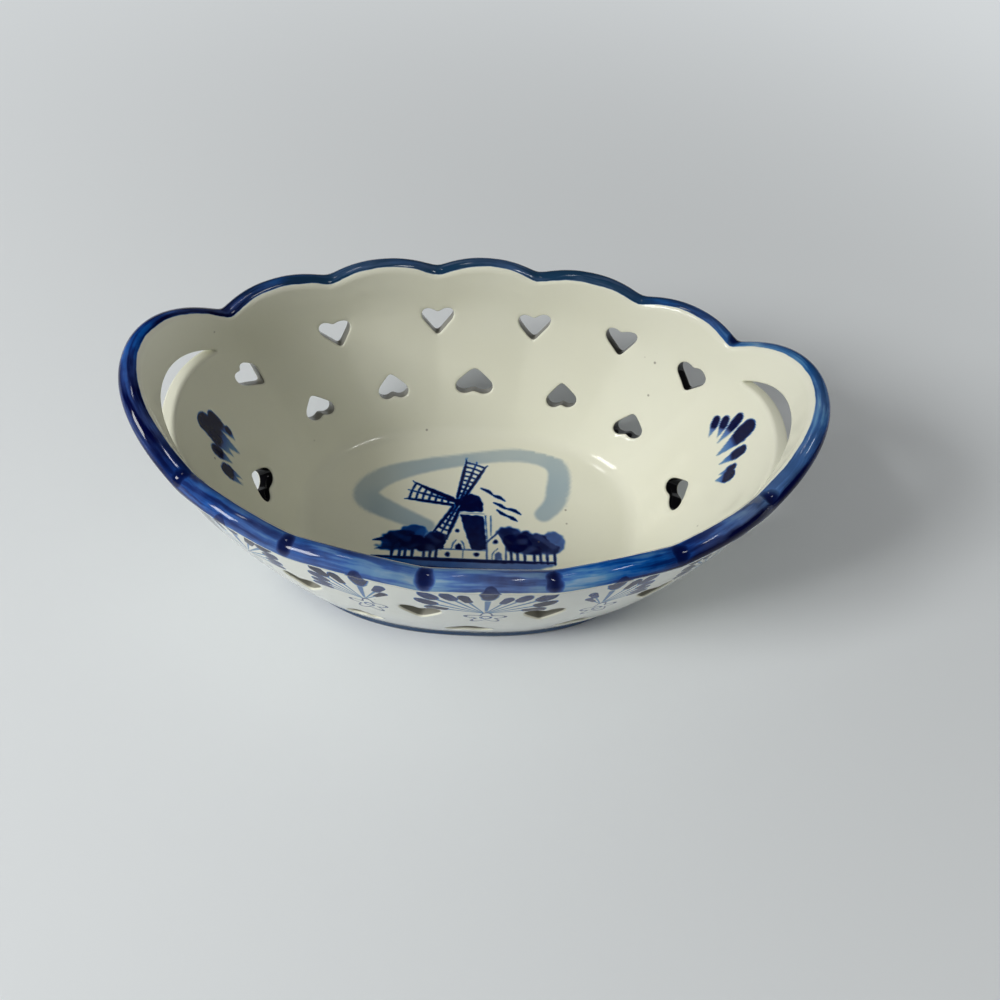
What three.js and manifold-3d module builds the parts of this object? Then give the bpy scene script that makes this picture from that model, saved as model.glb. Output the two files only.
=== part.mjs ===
// Oval pierced basket dish: one glazed earthenware casting, shown as its named regions.
// Millimetres and degrees, +Z up, +X along the length, origin on the table under the centre.

import * as THREE from 'three';
import { mergeVertices } from 'three/addons/utils/BufferGeometryUtils.js';
import Module from 'manifold-3d';

const wasm = await Module();
wasm.setup();

// Base
const FLOOR_HALF_LENGTH = 40.0;
const FLOOR_HALF_WIDTH = 26.8;
const FLOOR_SQUARENESS = 2.37;
const FLOOR_TOP = 4.6;
const FLOOR_FILLET = 1.6;
const FOOT_HEIGHT = 2.2;
const FOOT_OVERHANG = 4.3;
const FOOT_CHAMFER = 0.6;
const FOOT_RING_WIDTH = 4.0;
const FOOT_SHELF = 1.6;

// Wall, from the floor's edge to the rim's bead
const WALL_THICKNESS = 3.0;
const HEEL_OVERHANG = 4.3;
const BELLY = 0.15;

// Rim: an oval with a rise towards the ends, scalloped into lobes between the cusps
const RIM_HALF_LENGTH = 67.3;
const RIM_HALF_WIDTH = 44.5;
const RIM_HEIGHT = 42.8;
const RIM_END_RISE = 0.7;
const BEAD_RADIUS = 2.4;
const LOBE_OUT = 0.4;
const LOBE_UP = 2.2;
const LOBE_FULLNESS = 2.2;
const CUSP_ANGLES = [31.3, 56.9, 79.7];

// Ears: the end lobes, drawn out into handles over a crescent hand-hold
const EAR_OUT = 2.9;
const EAR_UP = 9.2;
const EAR_FULLNESS = 2.2;
const HANDHOLD_HALF_ANGLE = 24.3;
const HANDHOLD_DROP = 8.2;
const HANDHOLD_RISE = 2.8;
const HANDHOLD_DIP = 2.4;

// Heart piercings: the upper row points down, the lower row points up
const HEART_WIDTH = 8.0;
const HEART_HEIGHT = 7.2;
const HEART_LOBE_RADIUS = 2.15;
const UPPER_HEART_ANGLES = [31.3, 56.5, 79.5];
const UPPER_HEART_HEIGHT = 31.3;
const LOWER_HEART_ANGLES = [0, 40.8, 66.7, 90];
const LOWER_HEART_HEIGHT = 16.6;

// Hairline between regions, and the angle where end walls meet the long walls
const SEAM = 0.3;
const WALL_SEAM_ANGLE = 48.5;

// Facets
const LOBE_STEPS = 6;
const EAR_STEPS = 16;
const WALL_STEPS = 5;
const STRIP_STEPS = 2;
const FILLET_STEPS = 3;
const BEAD_STEPS = 8;
const ARC_STEPS = 6;
const BASE_STEPS = 64;

const GLAZE = { color: 0xe9e6d8, roughness: 0.16, metalness: 0 };
const COBALT = { color: 0x27448c, roughness: 0.16, metalness: 0 };

const rad = THREE.MathUtils.degToRad;
const lerp = THREE.MathUtils.lerp;
const TURN = Math.PI * 2;

// Superellipse point at a parametric angle
function superellipse(t, halfLength, halfWidth, squareness) {
  const stretch = (v) => Math.sign(v) * Math.abs(v) ** (2 / squareness);
  return new THREE.Vector2(halfLength * stretch(Math.cos(t)), halfWidth * stretch(Math.sin(t)));
}

// Outward normal of the rim oval, also used to offset the floor's edge
function outward(t) {
  return new THREE.Vector2(Math.cos(t) / RIM_HALF_LENGTH, Math.sin(t) / RIM_HALF_WIDTH).normalize();
}

function floorEdge(t, overhang) {
  return superellipse(t, FLOOR_HALF_LENGTH, FLOOR_HALF_WIDTH, FLOOR_SQUARENESS)
    .addScaledVector(outward(t), overhang);
}

// Angle folded into the first quarter, because the dish is alike in all four
const quarter = (t) => Math.acos(Math.min(1, Math.abs(Math.cos(t))));
const cusps = CUSP_ANGLES.map(rad);

// How far a lobe swells at an angle: 0 at its cusps, full in its middle
function lobe(t) {
  const a = quarter(t);
  if (a <= cusps[0]) {
    const swell = 1 - (a / cusps[0]) ** EAR_FULLNESS;
    return { out: EAR_OUT * swell, up: EAR_UP * swell };
  }
  const edges = [...cusps, Math.PI - cusps[2]];
  const k = edges.findIndex((edge) => a < edge) - 1;
  const across = 2 * (a - edges[k]) / (edges[k + 1] - edges[k]) - 1;
  const swell = 1 - Math.abs(across) ** LOBE_FULLNESS;
  return { out: LOBE_OUT * swell, up: LOBE_UP * swell };
}

// Height of the bead's centre line
function rimHeight(t) {
  return RIM_HEIGHT + RIM_END_RISE * Math.cos(2 * t) + lobe(t).up;
}

// A skin of the wall rises from a curve at the base to a line offset from the bead's centre
function skin(t, rise, base, rimOffset, low) {
  const bulge = rise + 4 * BELLY * rise * (1 - rise);
  const rim = new THREE.Vector2(RIM_HALF_LENGTH * Math.cos(t), RIM_HALF_WIDTH * Math.sin(t))
    .addScaledVector(outward(t), rimOffset + lobe(t).out * rise * rise);
  const flat = base.lerp(rim, bulge);
  return new THREE.Vector3(flat.x, flat.y, lerp(low, rimHeight(t), rise));
}

const inner = (t, rise) => skin(t, rise, floorEdge(t, 0), -WALL_THICKNESS / 2, FLOOR_TOP);
const outer = (t, rise) => skin(t, rise, floorEdge(t, HEEL_OVERHANG), WALL_THICKNESS / 2, FOOT_HEIGHT);
const innerRise = (t, z) => (z - FLOOR_TOP) / (rimHeight(t) - FLOOR_TOP);
const outerRise = (t, z) => (z - FOOT_HEIGHT) / (rimHeight(t) - FOOT_HEIGHT);
const middle = (t, z) => inner(t, innerRise(t, z)).lerp(outer(t, outerRise(t, z)), 0.5);

// Direction up the wall where it runs into the bead
function upWall(t) {
  const z = rimHeight(t);
  return middle(t, z).sub(middle(t, z - BEAD_RADIUS)).normalize();
}

// Heights of the level cuts: under the bead, and round the hand-hold in each ear
const beadSeam = (t) => rimHeight(t) - BEAD_RADIUS - SEAM;

function handholdEdge(t, swell) {
  const tip = rad(HANDHOLD_HALF_ANGLE);
  const a = quarter(t);
  const line = rimHeight(t) - HANDHOLD_DROP;
  if (a < tip) return line + swell * (1 - (a / tip) ** 2);
  return lerp(line, beadSeam(t) - SEAM, (a - tip) / (cusps[0] - tip));
}

const inEar = (t) => quarter(t) < cusps[0];
const wallTop = (t) => (inEar(t) ? handholdEdge(t, -HANDHOLD_DIP) : beadSeam(t)) - SEAM;

// Points up a skin between two heights
function climb(face, riseAt, t, from, to, steps) {
  return Array.from({ length: steps + 1 }, (_, k) => face(t, riseAt(t, lerp(from, to, k / steps))));
}

// Round section of the bead, from its inner side over the top to its outer side
function beadArc(t) {
  const up = upWall(t);
  const n = outward(t);
  const across = new THREE.Vector3(n.x, n.y, 0);
  across.addScaledVector(up, -across.dot(up)).normalize();
  const centre = middle(t, rimHeight(t));
  const waist = Math.acos(Math.min(1, WALL_THICKNESS / 2 / BEAD_RADIUS));
  return Array.from({ length: BEAD_STEPS + 1 }, (_, k) => {
    const a = lerp(Math.PI + waist, -waist, k / BEAD_STEPS);
    return centre.clone()
      .addScaledVector(across, BEAD_RADIUS * Math.cos(a))
      .addScaledVector(up, BEAD_RADIUS * Math.sin(a));
  });
}

// Section of the wall: toe on the foot, fillet from the floor, inner skin, then the outer skin down
function wallSection(t) {
  const raise = (flat, z) => new THREE.Vector3(flat.x, flat.y, z);
  const toe = floorEdge(t, -FLOOR_FILLET);
  const filletTop = FLOOR_TOP + FLOOR_FILLET;
  const fillet = new THREE.QuadraticBezierCurve3(
    raise(toe, FLOOR_TOP), raise(floorEdge(t, 0), FLOOR_TOP), inner(t, innerRise(t, filletTop)));
  return [
    raise(toe, FOOT_HEIGHT),
    ...fillet.getPoints(FILLET_STEPS).slice(0, -1),
    ...climb(inner, innerRise, t, filletTop, wallTop(t), WALL_STEPS),
    ...climb(outer, outerRise, t, wallTop(t), FOOT_HEIGHT, WALL_STEPS),
  ];
}

// Section of a handle: a strip of wall, from the hand-hold up into the bead and down again
function handleSection(t) {
  const top = beadSeam(t);
  const bottom = handholdEdge(t, HANDHOLD_RISE);
  return [
    ...climb(inner, innerRise, t, bottom, top, STRIP_STEPS),
    ...beadArc(t),
    ...climb(outer, outerRise, t, top, bottom, STRIP_STEPS),
  ];
}

// Section of a rim lobe: the bead alone, cut level below its round
function lobeSection(t) {
  const z = beadSeam(t);
  return [inner(t, innerRise(t, z)), ...beadArc(t), outer(t, outerRise(t, z))];
}

// Section of the foot ring: a sloped inner side, a chamfered standing edge, a flat top
function footSection(t) {
  const corners = [
    [-FLOOR_FILLET - FOOT_SHELF, FOOT_HEIGHT],
    [FOOT_OVERHANG, FOOT_HEIGHT],
    [FOOT_OVERHANG, FOOT_CHAMFER],
    [FOOT_OVERHANG - FOOT_CHAMFER, 0],
    [FOOT_OVERHANG - FOOT_RING_WIDTH, 0],
  ];
  return corners.map(([overhang, z]) => {
    const flat = floorEdge(t, overhang);
    return new THREE.Vector3(flat.x, flat.y, z);
  });
}

// Closed body swept through a section at each angle, capped at both ends unless it is a ring
function loft(section, angles, ring = false) {
  const rows = angles.map(section);
  const count = rows[0].length;
  const index = [];
  for (let i = 0; i < (ring ? rows.length : rows.length - 1); i += 1) {
    const here = i * count;
    const next = ((i + 1) % rows.length) * count;
    for (let j = 0; j < count; j += 1) {
      const k = (j + 1) % count;
      index.push(here + j, next + k, next + j, here + j, here + k, next + k);
    }
  }
  if (!ring) {
    const last = (rows.length - 1) * count;
    for (const [a, b, c] of capTriangles(rows[0])) index.push(a, b, c);
    for (const [a, b, c] of capTriangles(rows.at(-1))) index.push(last + c, last + b, last + a);
  }
  const geometry = new THREE.BufferGeometry();
  const positions = rows.flat().flatMap((p) => p.toArray());
  geometry.setAttribute('position', new THREE.Float32BufferAttribute(positions, 3));
  geometry.setIndex(index);
  return geometry;
}

// Triangles across one section, worked out in its own plane
function capTriangles(row) {
  const start = row[0];
  const away = row.at(-1).clone().sub(start).setZ(0).normalize();
  const flat = row.map((p) => new THREE.Vector2(p.clone().sub(start).dot(away), p.z));
  const clockwise = THREE.ShapeUtils.isClockWise(flat);
  const faces = THREE.ShapeUtils.triangulateShape(flat, []);
  return faces.map(([a, b, c]) => (clockwise ? [a, b, c] : [c, b, a]));
}

// Angles from one to another, evenly stepped within each lobe and landing on every cusp between
function sweep(from, to) {
  const marks = [];
  for (let half = -2; half <= 4; half += 1) {
    for (const cusp of cusps) marks.push(half * Math.PI + cusp, half * Math.PI - cusp);
  }
  const inside = marks.filter((mark) => mark > from + 1e-6 && mark < to - 1e-6);
  const stops = [from, ...inside.sort((a, b) => a - b), to];
  const angles = [];
  for (let k = 0; k + 1 < stops.length; k += 1) {
    const mid = (stops[k] + stops[k + 1]) / 2;
    const steps = inEar(mid) ? EAR_STEPS : LOBE_STEPS;
    for (let s = 0; s < steps; s += 1) angles.push(lerp(stops[k], stops[k + 1], s / steps));
  }
  return [...angles, to];
}

// Sweep between two angles, drawn in by half a seam at each end
function between(fromDegrees, toDegrees) {
  const speed = (t) => Math.hypot(RIM_HALF_LENGTH * Math.sin(t), RIM_HALF_WIDTH * Math.cos(t));
  const from = rad(fromDegrees);
  const to = rad(toDegrees);
  return sweep(from + SEAM / 2 / speed(from), to - SEAM / 2 / speed(to));
}

// Heart: two round lobes with straight sides drawn from them to the point
function heartShape() {
  const r = HEART_LOBE_RADIUS;
  const lobeX = HEART_WIDTH / 2 - r;
  const lobeY = HEART_HEIGHT / 2 - r;
  const point = -HEART_HEIGHT / 2;
  const reach = Math.hypot(lobeX, lobeY - point);
  const tangent = Math.atan2(point - lobeY, -lobeX) + Math.acos(Math.min(1, r / reach));
  const notch = Math.acos(Math.max(-1, -lobeX / r));
  const shape = new THREE.Shape();
  shape.absarc(lobeX, lobeY, r, tangent, notch, false);
  shape.absarc(-lobeX, lobeY, r, Math.PI - notch, Math.PI - tangent, false);
  shape.lineTo(0, point);
  shape.closePath();
  return shape;
}

// Cutter for one heart, square to the wall where it goes through
function heartCutter(t, z, pointsUp) {
  const depth = WALL_THICKNESS * 4;
  const place = middle(t, z);
  const along = middle(t + rad(1), z).sub(place).normalize();
  const up = middle(t, z + HEART_HEIGHT / 2).sub(place).normalize();
  const through = along.clone().cross(up).normalize();
  up.crossVectors(through, along);
  const geometry = new THREE.ExtrudeGeometry(heartShape(), {
    depth, bevelEnabled: false, curveSegments: ARC_STEPS });
  geometry.translate(0, 0, -depth / 2);
  if (pointsUp) geometry.rotateZ(Math.PI);
  return geometry.applyMatrix4(new THREE.Matrix4().makeBasis(along, up, through).setPosition(place));
}

// Every heart of the dish, one quarter's angles mirrored into the other three
function allHearts() {
  const around = (degrees) => {
    const quarters = [degrees, 180 - degrees, 180 + degrees, 360 - degrees].map((d) => d % 360);
    return [...new Set(quarters)];
  };
  const upper = UPPER_HEART_ANGLES.flatMap(around);
  const lower = LOWER_HEART_ANGLES.flatMap(around);
  return [
    ...upper.map((angle) => ({ angle, z: UPPER_HEART_HEIGHT, pointsUp: false })),
    ...lower.map((angle) => ({ angle, z: LOWER_HEART_HEIGHT, pointsUp: true })),
  ];
}

function toManifold(geometry) {
  const bare = geometry.clone();
  bare.deleteAttribute('normal');
  bare.deleteAttribute('uv');
  const merged = mergeVertices(bare, 1e-4);
  return new wasm.Manifold(new wasm.Mesh({
    numProp: 3,
    vertProperties: new Float32Array(merged.attributes.position.array),
    triVerts: new Uint32Array(merged.index.array),
  }));
}

function toGeometry(manifold) {
  const { vertProperties, triVerts } = manifold.getMesh();
  const geometry = new THREE.BufferGeometry();
  geometry.setAttribute('position', new THREE.BufferAttribute(vertProperties, 3));
  geometry.setIndex(new THREE.BufferAttribute(triVerts, 1));
  return geometry;
}

// Wall between two angles, pierced by the hearts that lie between them
function piercedWall(fromDegrees, toDegrees) {
  let wall = toManifold(loft(wallSection, between(fromDegrees, toDegrees)));
  for (const { angle, z, pointsUp } of allHearts()) {
    const within = (angle - fromDegrees + 720) % 360 < toDegrees - fromDegrees;
    if (within) wall = wall.subtract(toManifold(heartCutter(rad(angle), z, pointsUp)));
  }
  return toGeometry(wall);
}

// Flat floor inside the wall's toe, resting on the foot ring's shelf
function floorPlate() {
  const outline = Array.from({ length: BASE_STEPS }, (_, k) => {
    return floorEdge(TURN * k / BASE_STEPS, -FLOOR_FILLET - SEAM);
  });
  const plate = new THREE.ExtrudeGeometry(new THREE.Shape(outline), {
    depth: FLOOR_TOP - FOOT_HEIGHT, bevelEnabled: false });
  return plate.translate(0, 0, FOOT_HEIGHT);
}

function footRing() {
  const angles = Array.from({ length: BASE_STEPS }, (_, k) => TURN * k / BASE_STEPS);
  return loft(footSection, angles, true);
}

function piece(name, geometry, finish) {
  const mesh = new THREE.Mesh(geometry, new THREE.MeshStandardMaterial(finish));
  mesh.name = name;
  return mesh;
}

function base() {
  return new THREE.Group().add(
    piece('foot_ring', footRing(), COBALT),
    piece('floor', floorPlate(), GLAZE),
  );
}

function walls() {
  const seam = WALL_SEAM_ANGLE;
  return new THREE.Group().add(
    piece('right_end_wall', piercedWall(-seam, seam), GLAZE),
    piece('back_wall', piercedWall(seam, 180 - seam), GLAZE),
    piece('left_end_wall', piercedWall(180 - seam, 180 + seam), GLAZE),
    piece('front_wall', piercedWall(180 + seam, 360 - seam), GLAZE),
  );
}

// One scalloped lobe of the rim between each pair of cusps along a long side
function rimLobes(side, start) {
  const [first, second, third] = CUSP_ANGLES;
  const edges = [first, second, third, 180 - third, 180 - second, 180 - first];
  const lobes = new THREE.Group();
  for (let k = 0; k + 1 < edges.length; k += 1) {
    const angles = between(start + edges[k], start + edges[k + 1]);
    lobes.add(piece(`${side}_rim_lobe_${k + 1}`, loft(lobeSection, angles), COBALT));
  }
  return lobes;
}

function handles() {
  const reach = CUSP_ANGLES[0];
  return new THREE.Group().add(
    piece('right_handle', loft(handleSection, between(-reach, reach)), COBALT),
    piece('left_handle', loft(handleSection, between(180 - reach, 180 + reach)), COBALT),
  );
}

const dish = new THREE.Group();
dish.add(base(), walls(), rimLobes('back', 0), rimLobes('front', 180), handles());

export default dish;
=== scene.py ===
"""Glazed look of the oval pierced basket dish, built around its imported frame."""
import logging
import math
from dataclasses import dataclass, field, replace
from enum import Enum
from typing import Any, Sequence

import bpy
import numpy as np
from mathutils import Matrix, Vector, geometry


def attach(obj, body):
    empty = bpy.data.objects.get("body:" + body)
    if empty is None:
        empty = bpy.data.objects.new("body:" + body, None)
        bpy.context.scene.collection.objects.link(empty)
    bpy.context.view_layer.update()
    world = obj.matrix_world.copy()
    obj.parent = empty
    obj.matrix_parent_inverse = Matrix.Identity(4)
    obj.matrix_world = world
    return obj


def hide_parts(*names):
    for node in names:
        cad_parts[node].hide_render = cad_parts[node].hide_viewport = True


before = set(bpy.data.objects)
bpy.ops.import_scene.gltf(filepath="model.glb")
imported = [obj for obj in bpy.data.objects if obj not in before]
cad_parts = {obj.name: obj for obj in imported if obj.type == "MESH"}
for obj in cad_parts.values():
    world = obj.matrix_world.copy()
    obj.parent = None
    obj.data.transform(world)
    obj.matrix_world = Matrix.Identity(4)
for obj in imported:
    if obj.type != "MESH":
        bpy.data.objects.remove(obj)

LOG = logging.getLogger("basket_dish")
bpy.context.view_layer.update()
MM = 0.001
WHOLE_TURN = 2.0 * np.pi
WHITE = (1.0, 1.0, 1.0)
Array = np.ndarray
Colour = tuple[float, float, float]


class Skin(Enum):
    """The two skins of the wall, by how deep they lie in it."""

    INNER = 0.0
    OUTER = 1.0


class Sock:
    """A node's output that takes part in Python expressions."""

    def __init__(self, nodes: "Nodes", socket: bpy.types.NodeSocket) -> None:
        """Wrap one output socket of a tree."""
        self.nodes = nodes
        self.socket = socket

    def math(self, operation: str, *others: "Sock | float") -> "Sock":
        """Apply a Math node to this value.

        Args:
            operation: Name of the Math node's operation.
            others: Further operands, sockets or plain numbers.

        Returns:
            The node's result.
        """
        return self.nodes.math(operation, self, *others)

    def __add__(self, other: "Sock | float") -> "Sock":
        """Sum."""
        return self.math("ADD", other)

    __radd__ = __add__

    def __sub__(self, other: "Sock | float") -> "Sock":
        """Difference."""
        return self.math("SUBTRACT", other)

    def __rsub__(self, other: float) -> "Sock":
        """Difference from a number."""
        return self.nodes.math("SUBTRACT", other, self)

    def __mul__(self, other: "Sock | float") -> "Sock":
        """Product."""
        return self.math("MULTIPLY", other)

    __rmul__ = __mul__

    def __truediv__(self, other: "Sock | float") -> "Sock":
        """Quotient."""
        return self.math("DIVIDE", other)

    def __rtruediv__(self, other: float) -> "Sock":
        """Quotient of a number by this value."""
        return self.nodes.math("DIVIDE", other, self)

    def __pow__(self, other: "Sock | float") -> "Sock":
        """Power."""
        return self.math("POWER", other)

    def __neg__(self) -> "Sock":
        """Opposite value."""
        return self.math("MULTIPLY", -1.0)

    def __abs__(self) -> "Sock":
        """Size without sign."""
        return self.math("ABSOLUTE")

    def least(self, other: "Sock | float") -> "Sock":
        """Smaller of two values."""
        return self.math("MINIMUM", other)

    def most(self, other: "Sock | float") -> "Sock":
        """Larger of two values."""
        return self.math("MAXIMUM", other)

    def ease(self, start: float, end: float) -> "Sock":
        """Smooth step from 0 at start to 1 at end, where start may be the larger.

        Args:
            start: Value that gives 0.
            end: Value that gives 1.

        Returns:
            The stepped value.
        """
        low, high = sorted((start, end))
        step = self.nodes.make(
            "ShaderNodeMapRange",
            {"interpolation_type": "SMOOTHSTEP"},
            {"Value": self, "From Min": low, "From Max": high},
        )
        return step if start <= end else 1.0 - step

    def toward(self, other: "Sock | float", share: "Sock | float") -> "Sock":
        """Blend from this value to another by a share from 0 to 1."""
        return self + (other - self) * share


class Nodes:
    """A node tree under construction."""

    def __init__(self, tree: bpy.types.NodeTree) -> None:
        """Start on an emptied tree."""
        self.tree = tree
        tree.nodes.clear()

    def node(
        self,
        kind: str,
        settings: dict[str, Any] | None = None,
        inputs: dict[str | int, Any] | None = None,
    ) -> bpy.types.Node:
        """Make any node.

        Args:
            kind: The node's type.
            settings: Properties, set before its sockets; a ramp's stops go under "stops".
            inputs: Values or links by socket name or place; a colour is three numbers.

        Returns:
            The node.
        """
        node = self.tree.nodes.new(kind)
        for name, value in (settings or {}).items():
            if name == "stops":
                self._stops(node.color_ramp, value)
            else:
                setattr(node, name, value)
        for name, value in (inputs or {}).items():
            socket = node.inputs[name]
            if isinstance(value, Sock):
                self.tree.links.new(value.socket, socket)
            else:
                socket.default_value = (*value, 1.0) if socket.type == "RGBA" else value
        return node

    def make(
        self,
        kind: str,
        settings: dict[str, Any] | None = None,
        inputs: dict[str | int, Any] | None = None,
        out: str | int = 0,
    ) -> Sock:
        """Make any node and take one of its outputs.

        Args:
            kind: The node's type.
            settings: Properties, as for node.
            inputs: Values or links, as for node.
            out: Name or place of the output.

        Returns:
            That output.
        """
        return Sock(self, self.node(kind, settings, inputs).outputs[out])

    def math(self, operation: str, *values: Sock | float) -> Sock:
        """Make a Math node from sockets and numbers."""
        return self.make("ShaderNodeMath", {"operation": operation}, dict(enumerate(values)))

    @staticmethod
    def _stops(ramp: bpy.types.ColorRamp, stops: Sequence[tuple[float, Colour]]) -> None:
        """Set a ramp's stops.

        Args:
            ramp: The ramp.
            stops: Pairs of place and colour, in order.
        """
        while len(ramp.elements) < len(stops):
            ramp.elements.new(1.0)
        for element, (place, colour) in zip(ramp.elements, stops):
            element.position = place
            element.color = (*colour, 1.0)


class PaintNodes(Nodes):
    """A material's tree that reads the marks and places of its piece."""

    def mark(self, name: str) -> Sock:
        """Read one of the piece's marks."""
        return self.make("ShaderNodeAttribute", {"attribute_name": name}, None, "Fac")

    def place(self) -> Sock:
        """Read the place on the piece."""
        return self.make("ShaderNodeTexCoord", None, None, "Object")

    def axes(self) -> tuple[Sock, ...]:
        """Read the place on the piece along each axis, in metres."""
        parts = self.node("ShaderNodeSeparateXYZ", None, {0: self.place()})
        return tuple(Sock(self, output) for output in parts.outputs)

    def noise(self, scale: float, detail: float, place: Sock | None = None) -> Sock:
        """Soft noise over the piece.

        Args:
            scale: Its fineness, per metre.
            detail: Its detail.
            place: Where it is read, if not at the place on the piece.

        Returns:
            Noise about 0.5.
        """
        vector = self.place() if place is None else place
        inputs = {"Vector": vector, "Scale": scale, "Detail": detail}
        return self.make("ShaderNodeTexNoise", None, inputs, "Fac")

    def shake(self, scale: float, detail: float) -> Sock:
        """Soft noise about 0."""
        return self.noise(scale, detail) - 0.5


def mix_colour(nodes: Nodes, share: Sock | float, first: Any, second: Any) -> Sock:
    """Blend two colours.

    Args:
        nodes: The tree.
        share: 0 gives the first, 1 the second.
        first: Colour or socket.
        second: Colour or socket.

    Returns:
        The blended colour.
    """
    spread = {"data_type": "RGBA", "blend_type": "MIX", "clamp_factor": True}
    return nodes.make("ShaderNodeMix", spread, {0: share, 6: first, 7: second}, 2)


def blank_material(name: str) -> tuple[bpy.types.Material, PaintNodes]:
    """Make a material whose tree is empty.

    Args:
        name: Its name.

    Returns:
        The material and its tree.
    """
    made = bpy.data.materials.new(name)
    made.use_nodes = True
    return made, PaintNodes(made.node_tree)


def put_in_scene(name: str, data: bpy.types.ID) -> bpy.types.Object:
    """Make an object and put it in the scene.

    Args:
        name: Its name.
        data: Its mesh, light or camera.

    Returns:
        The object.
    """
    obj = bpy.data.objects.new(name, data)
    bpy.context.scene.collection.objects.link(obj)
    return obj


def srgb(red: int, green: int, blue: int) -> Colour:
    """Linear colour from screen values.

    Args:
        red: From 0 to 255.
        green: From 0 to 255.
        blue: From 0 to 255.

    Returns:
        The linear colour.
    """
    screen = np.array((red, green, blue)) / 255.0
    linear = np.where(screen <= 0.04045, screen / 12.92, ((screen + 0.055) / 1.055) ** 2.4)
    return tuple(float(value) for value in linear)


def smooth(value: Array, start: float, end: float) -> Array:
    """Smooth step of an array from 0 at start to 1 at end."""
    share = np.clip((value - start) / (end - start), 0.0, 1.0)
    return share * share * (3.0 - 2.0 * share)


@dataclass(frozen=True)
class BasketSizes:
    """Sizes of the dish in millimetres and degrees.

    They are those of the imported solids, but for a larger fillet round the floor, an inner skin that
    tapers into the bead, and what only the hand gives: lobes that drift to the right, flatter lobes
    in front and softened cusps.
    """

    floor_half_length: float = 40.0
    floor_half_width: float = 26.8
    floor_squareness: float = 2.37
    floor_top: float = 4.6
    floor_fillet: float = 3.2
    foot_height: float = 2.2
    foot_overhang: float = 4.3
    foot_ring_width: float = 4.0
    foot_side: float = 1.6
    heel_overhang: float = 4.3
    wall_thickness: float = 3.0
    belly: float = 0.15
    rim_half_length: float = 67.3
    rim_half_width: float = 44.5
    rim_height: float = 42.8
    rim_end_rise: float = 0.7
    bead_radius: float = 2.4
    bead_taper: float = 0.30
    bead_taper_end: float = 0.98
    lobe_out: float = 0.4
    lobe_up: float = 2.2
    lobe_fullness: float = 2.2
    lobe_drift: float = 1.7
    lobe_drift_back: float = 0.5
    cusp_soft: float = 0.24
    ear_cusp_share: float = 0.3
    front_flatness: float = 0.35
    front_flat_slope: float = 2.6
    front_flat_start: float = 1.36
    cusp_angles: tuple[float, ...] = (31.3, 56.9, 79.7)
    ear_out: float = 2.9
    ear_up: float = 9.2
    ear_fullness: float = 2.2
    handhold_half_angle: float = 24.3
    handhold_drop: float = 8.2
    handhold_rise: float = 2.8
    handhold_dip: float = 2.4
    heart_width: float = 8.0
    heart_height: float = 7.2
    heart_lobe_radius: float = 2.15

    def drift(self, turn: Array) -> Array:
        """How far the hand-shaped lobes have moved toward the right end, in radians."""
        return np.radians(np.sin(turn) * (self.lobe_drift - self.lobe_drift_back * np.sin(turn)))

    def cusps(self) -> Array:
        """Find all the cusps.

        Returns:
            Their angles, in order round the dish.
        """
        first = np.radians(self.cusp_angles)
        half = np.concatenate([first, np.pi - first[::-1]])
        even = np.concatenate([half, half + np.pi])
        return even - self.drift(even)

    def swell(self, turn: Array) -> tuple[Array, Array]:
        """How far the lobes stand out and up.

        Args:
            turn: Angles round the dish.

        Returns:
            Distances outward and upward at each angle.
        """
        folded = np.arccos(np.clip(np.abs(np.cos(turn + self.drift(turn))), 0.0, 1.0))
        first = np.radians(self.cusp_angles)
        edges = np.append(first, np.pi - first[-1])
        ear = 1.0 - (np.minimum(folded / first[0], 1.0)) ** self.ear_fullness
        place = np.clip(np.searchsorted(edges, folded) - 1, 0, len(edges) - 2)
        across = 2.0 * (folded - edges[place]) / (edges[place + 1] - edges[place]) - 1.0
        lobe = 1.0 - np.minimum(np.abs(across), 1.0) ** self.lobe_fullness
        on_ear = folded <= first[0]
        soft = np.where(on_ear, self.cusp_soft * self.ear_cusp_share, self.cusp_soft)
        ear, lobe = (
            (np.sqrt(part**2 + soft**2) - soft) / (np.sqrt(1.0 + soft**2) - soft) for part in (ear, lobe))
        out = np.where(on_ear, self.ear_out * ear, self.lobe_out * lobe)
        front = np.clip(-self.front_flat_slope * np.sin(turn) - self.front_flat_start, 0.0, 1.0)
        flatter = 1.0 - self.front_flatness * front
        up = np.where(on_ear, self.ear_up * ear, self.lobe_up * (1.0 - flatter * (1.0 - lobe)))
        return out, up

    def rim_level(self, turn: Array) -> Array:
        """Height of the bead's centre line at each angle."""
        return self.rim_height + self.rim_end_rise * np.cos(2.0 * turn) + self.swell(turn)[1]

    def rise_at(self, turn: Array, level: Array) -> Array:
        """Share of the way up the inner wall at a height."""
        return (level - self.floor_top) / (self.rim_level(turn) - self.floor_top)

    def thicken(self, rise: Array | float) -> Array:
        """How far the inner skin comes in toward the bead near the top of the wall."""
        added = self.bead_radius - self.wall_thickness / 2.0
        return added * smooth(np.asarray(rise), 1.0 - self.bead_taper, self.bead_taper_end)

    def bulge(self, rise: Array) -> Array:
        """Share of the way out at a share of the way up."""
        return rise + 4.0 * self.belly * rise * (1.0 - rise)

    def speed(self, turn: Array, rise: Array) -> Array:
        """Measure the way round the wall.

        Args:
            turn: Angles round the dish.
            rise: Shares of the way up.

        Returns:
            Millimetres for each radian.
        """
        share = self.bulge(rise)
        length = self.floor_half_length + (self.rim_half_length - self.floor_half_length) * share
        width = self.floor_half_width + (self.rim_half_width - self.floor_half_width) * share
        return np.hypot(length * np.sin(turn), width * np.cos(turn))

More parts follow.
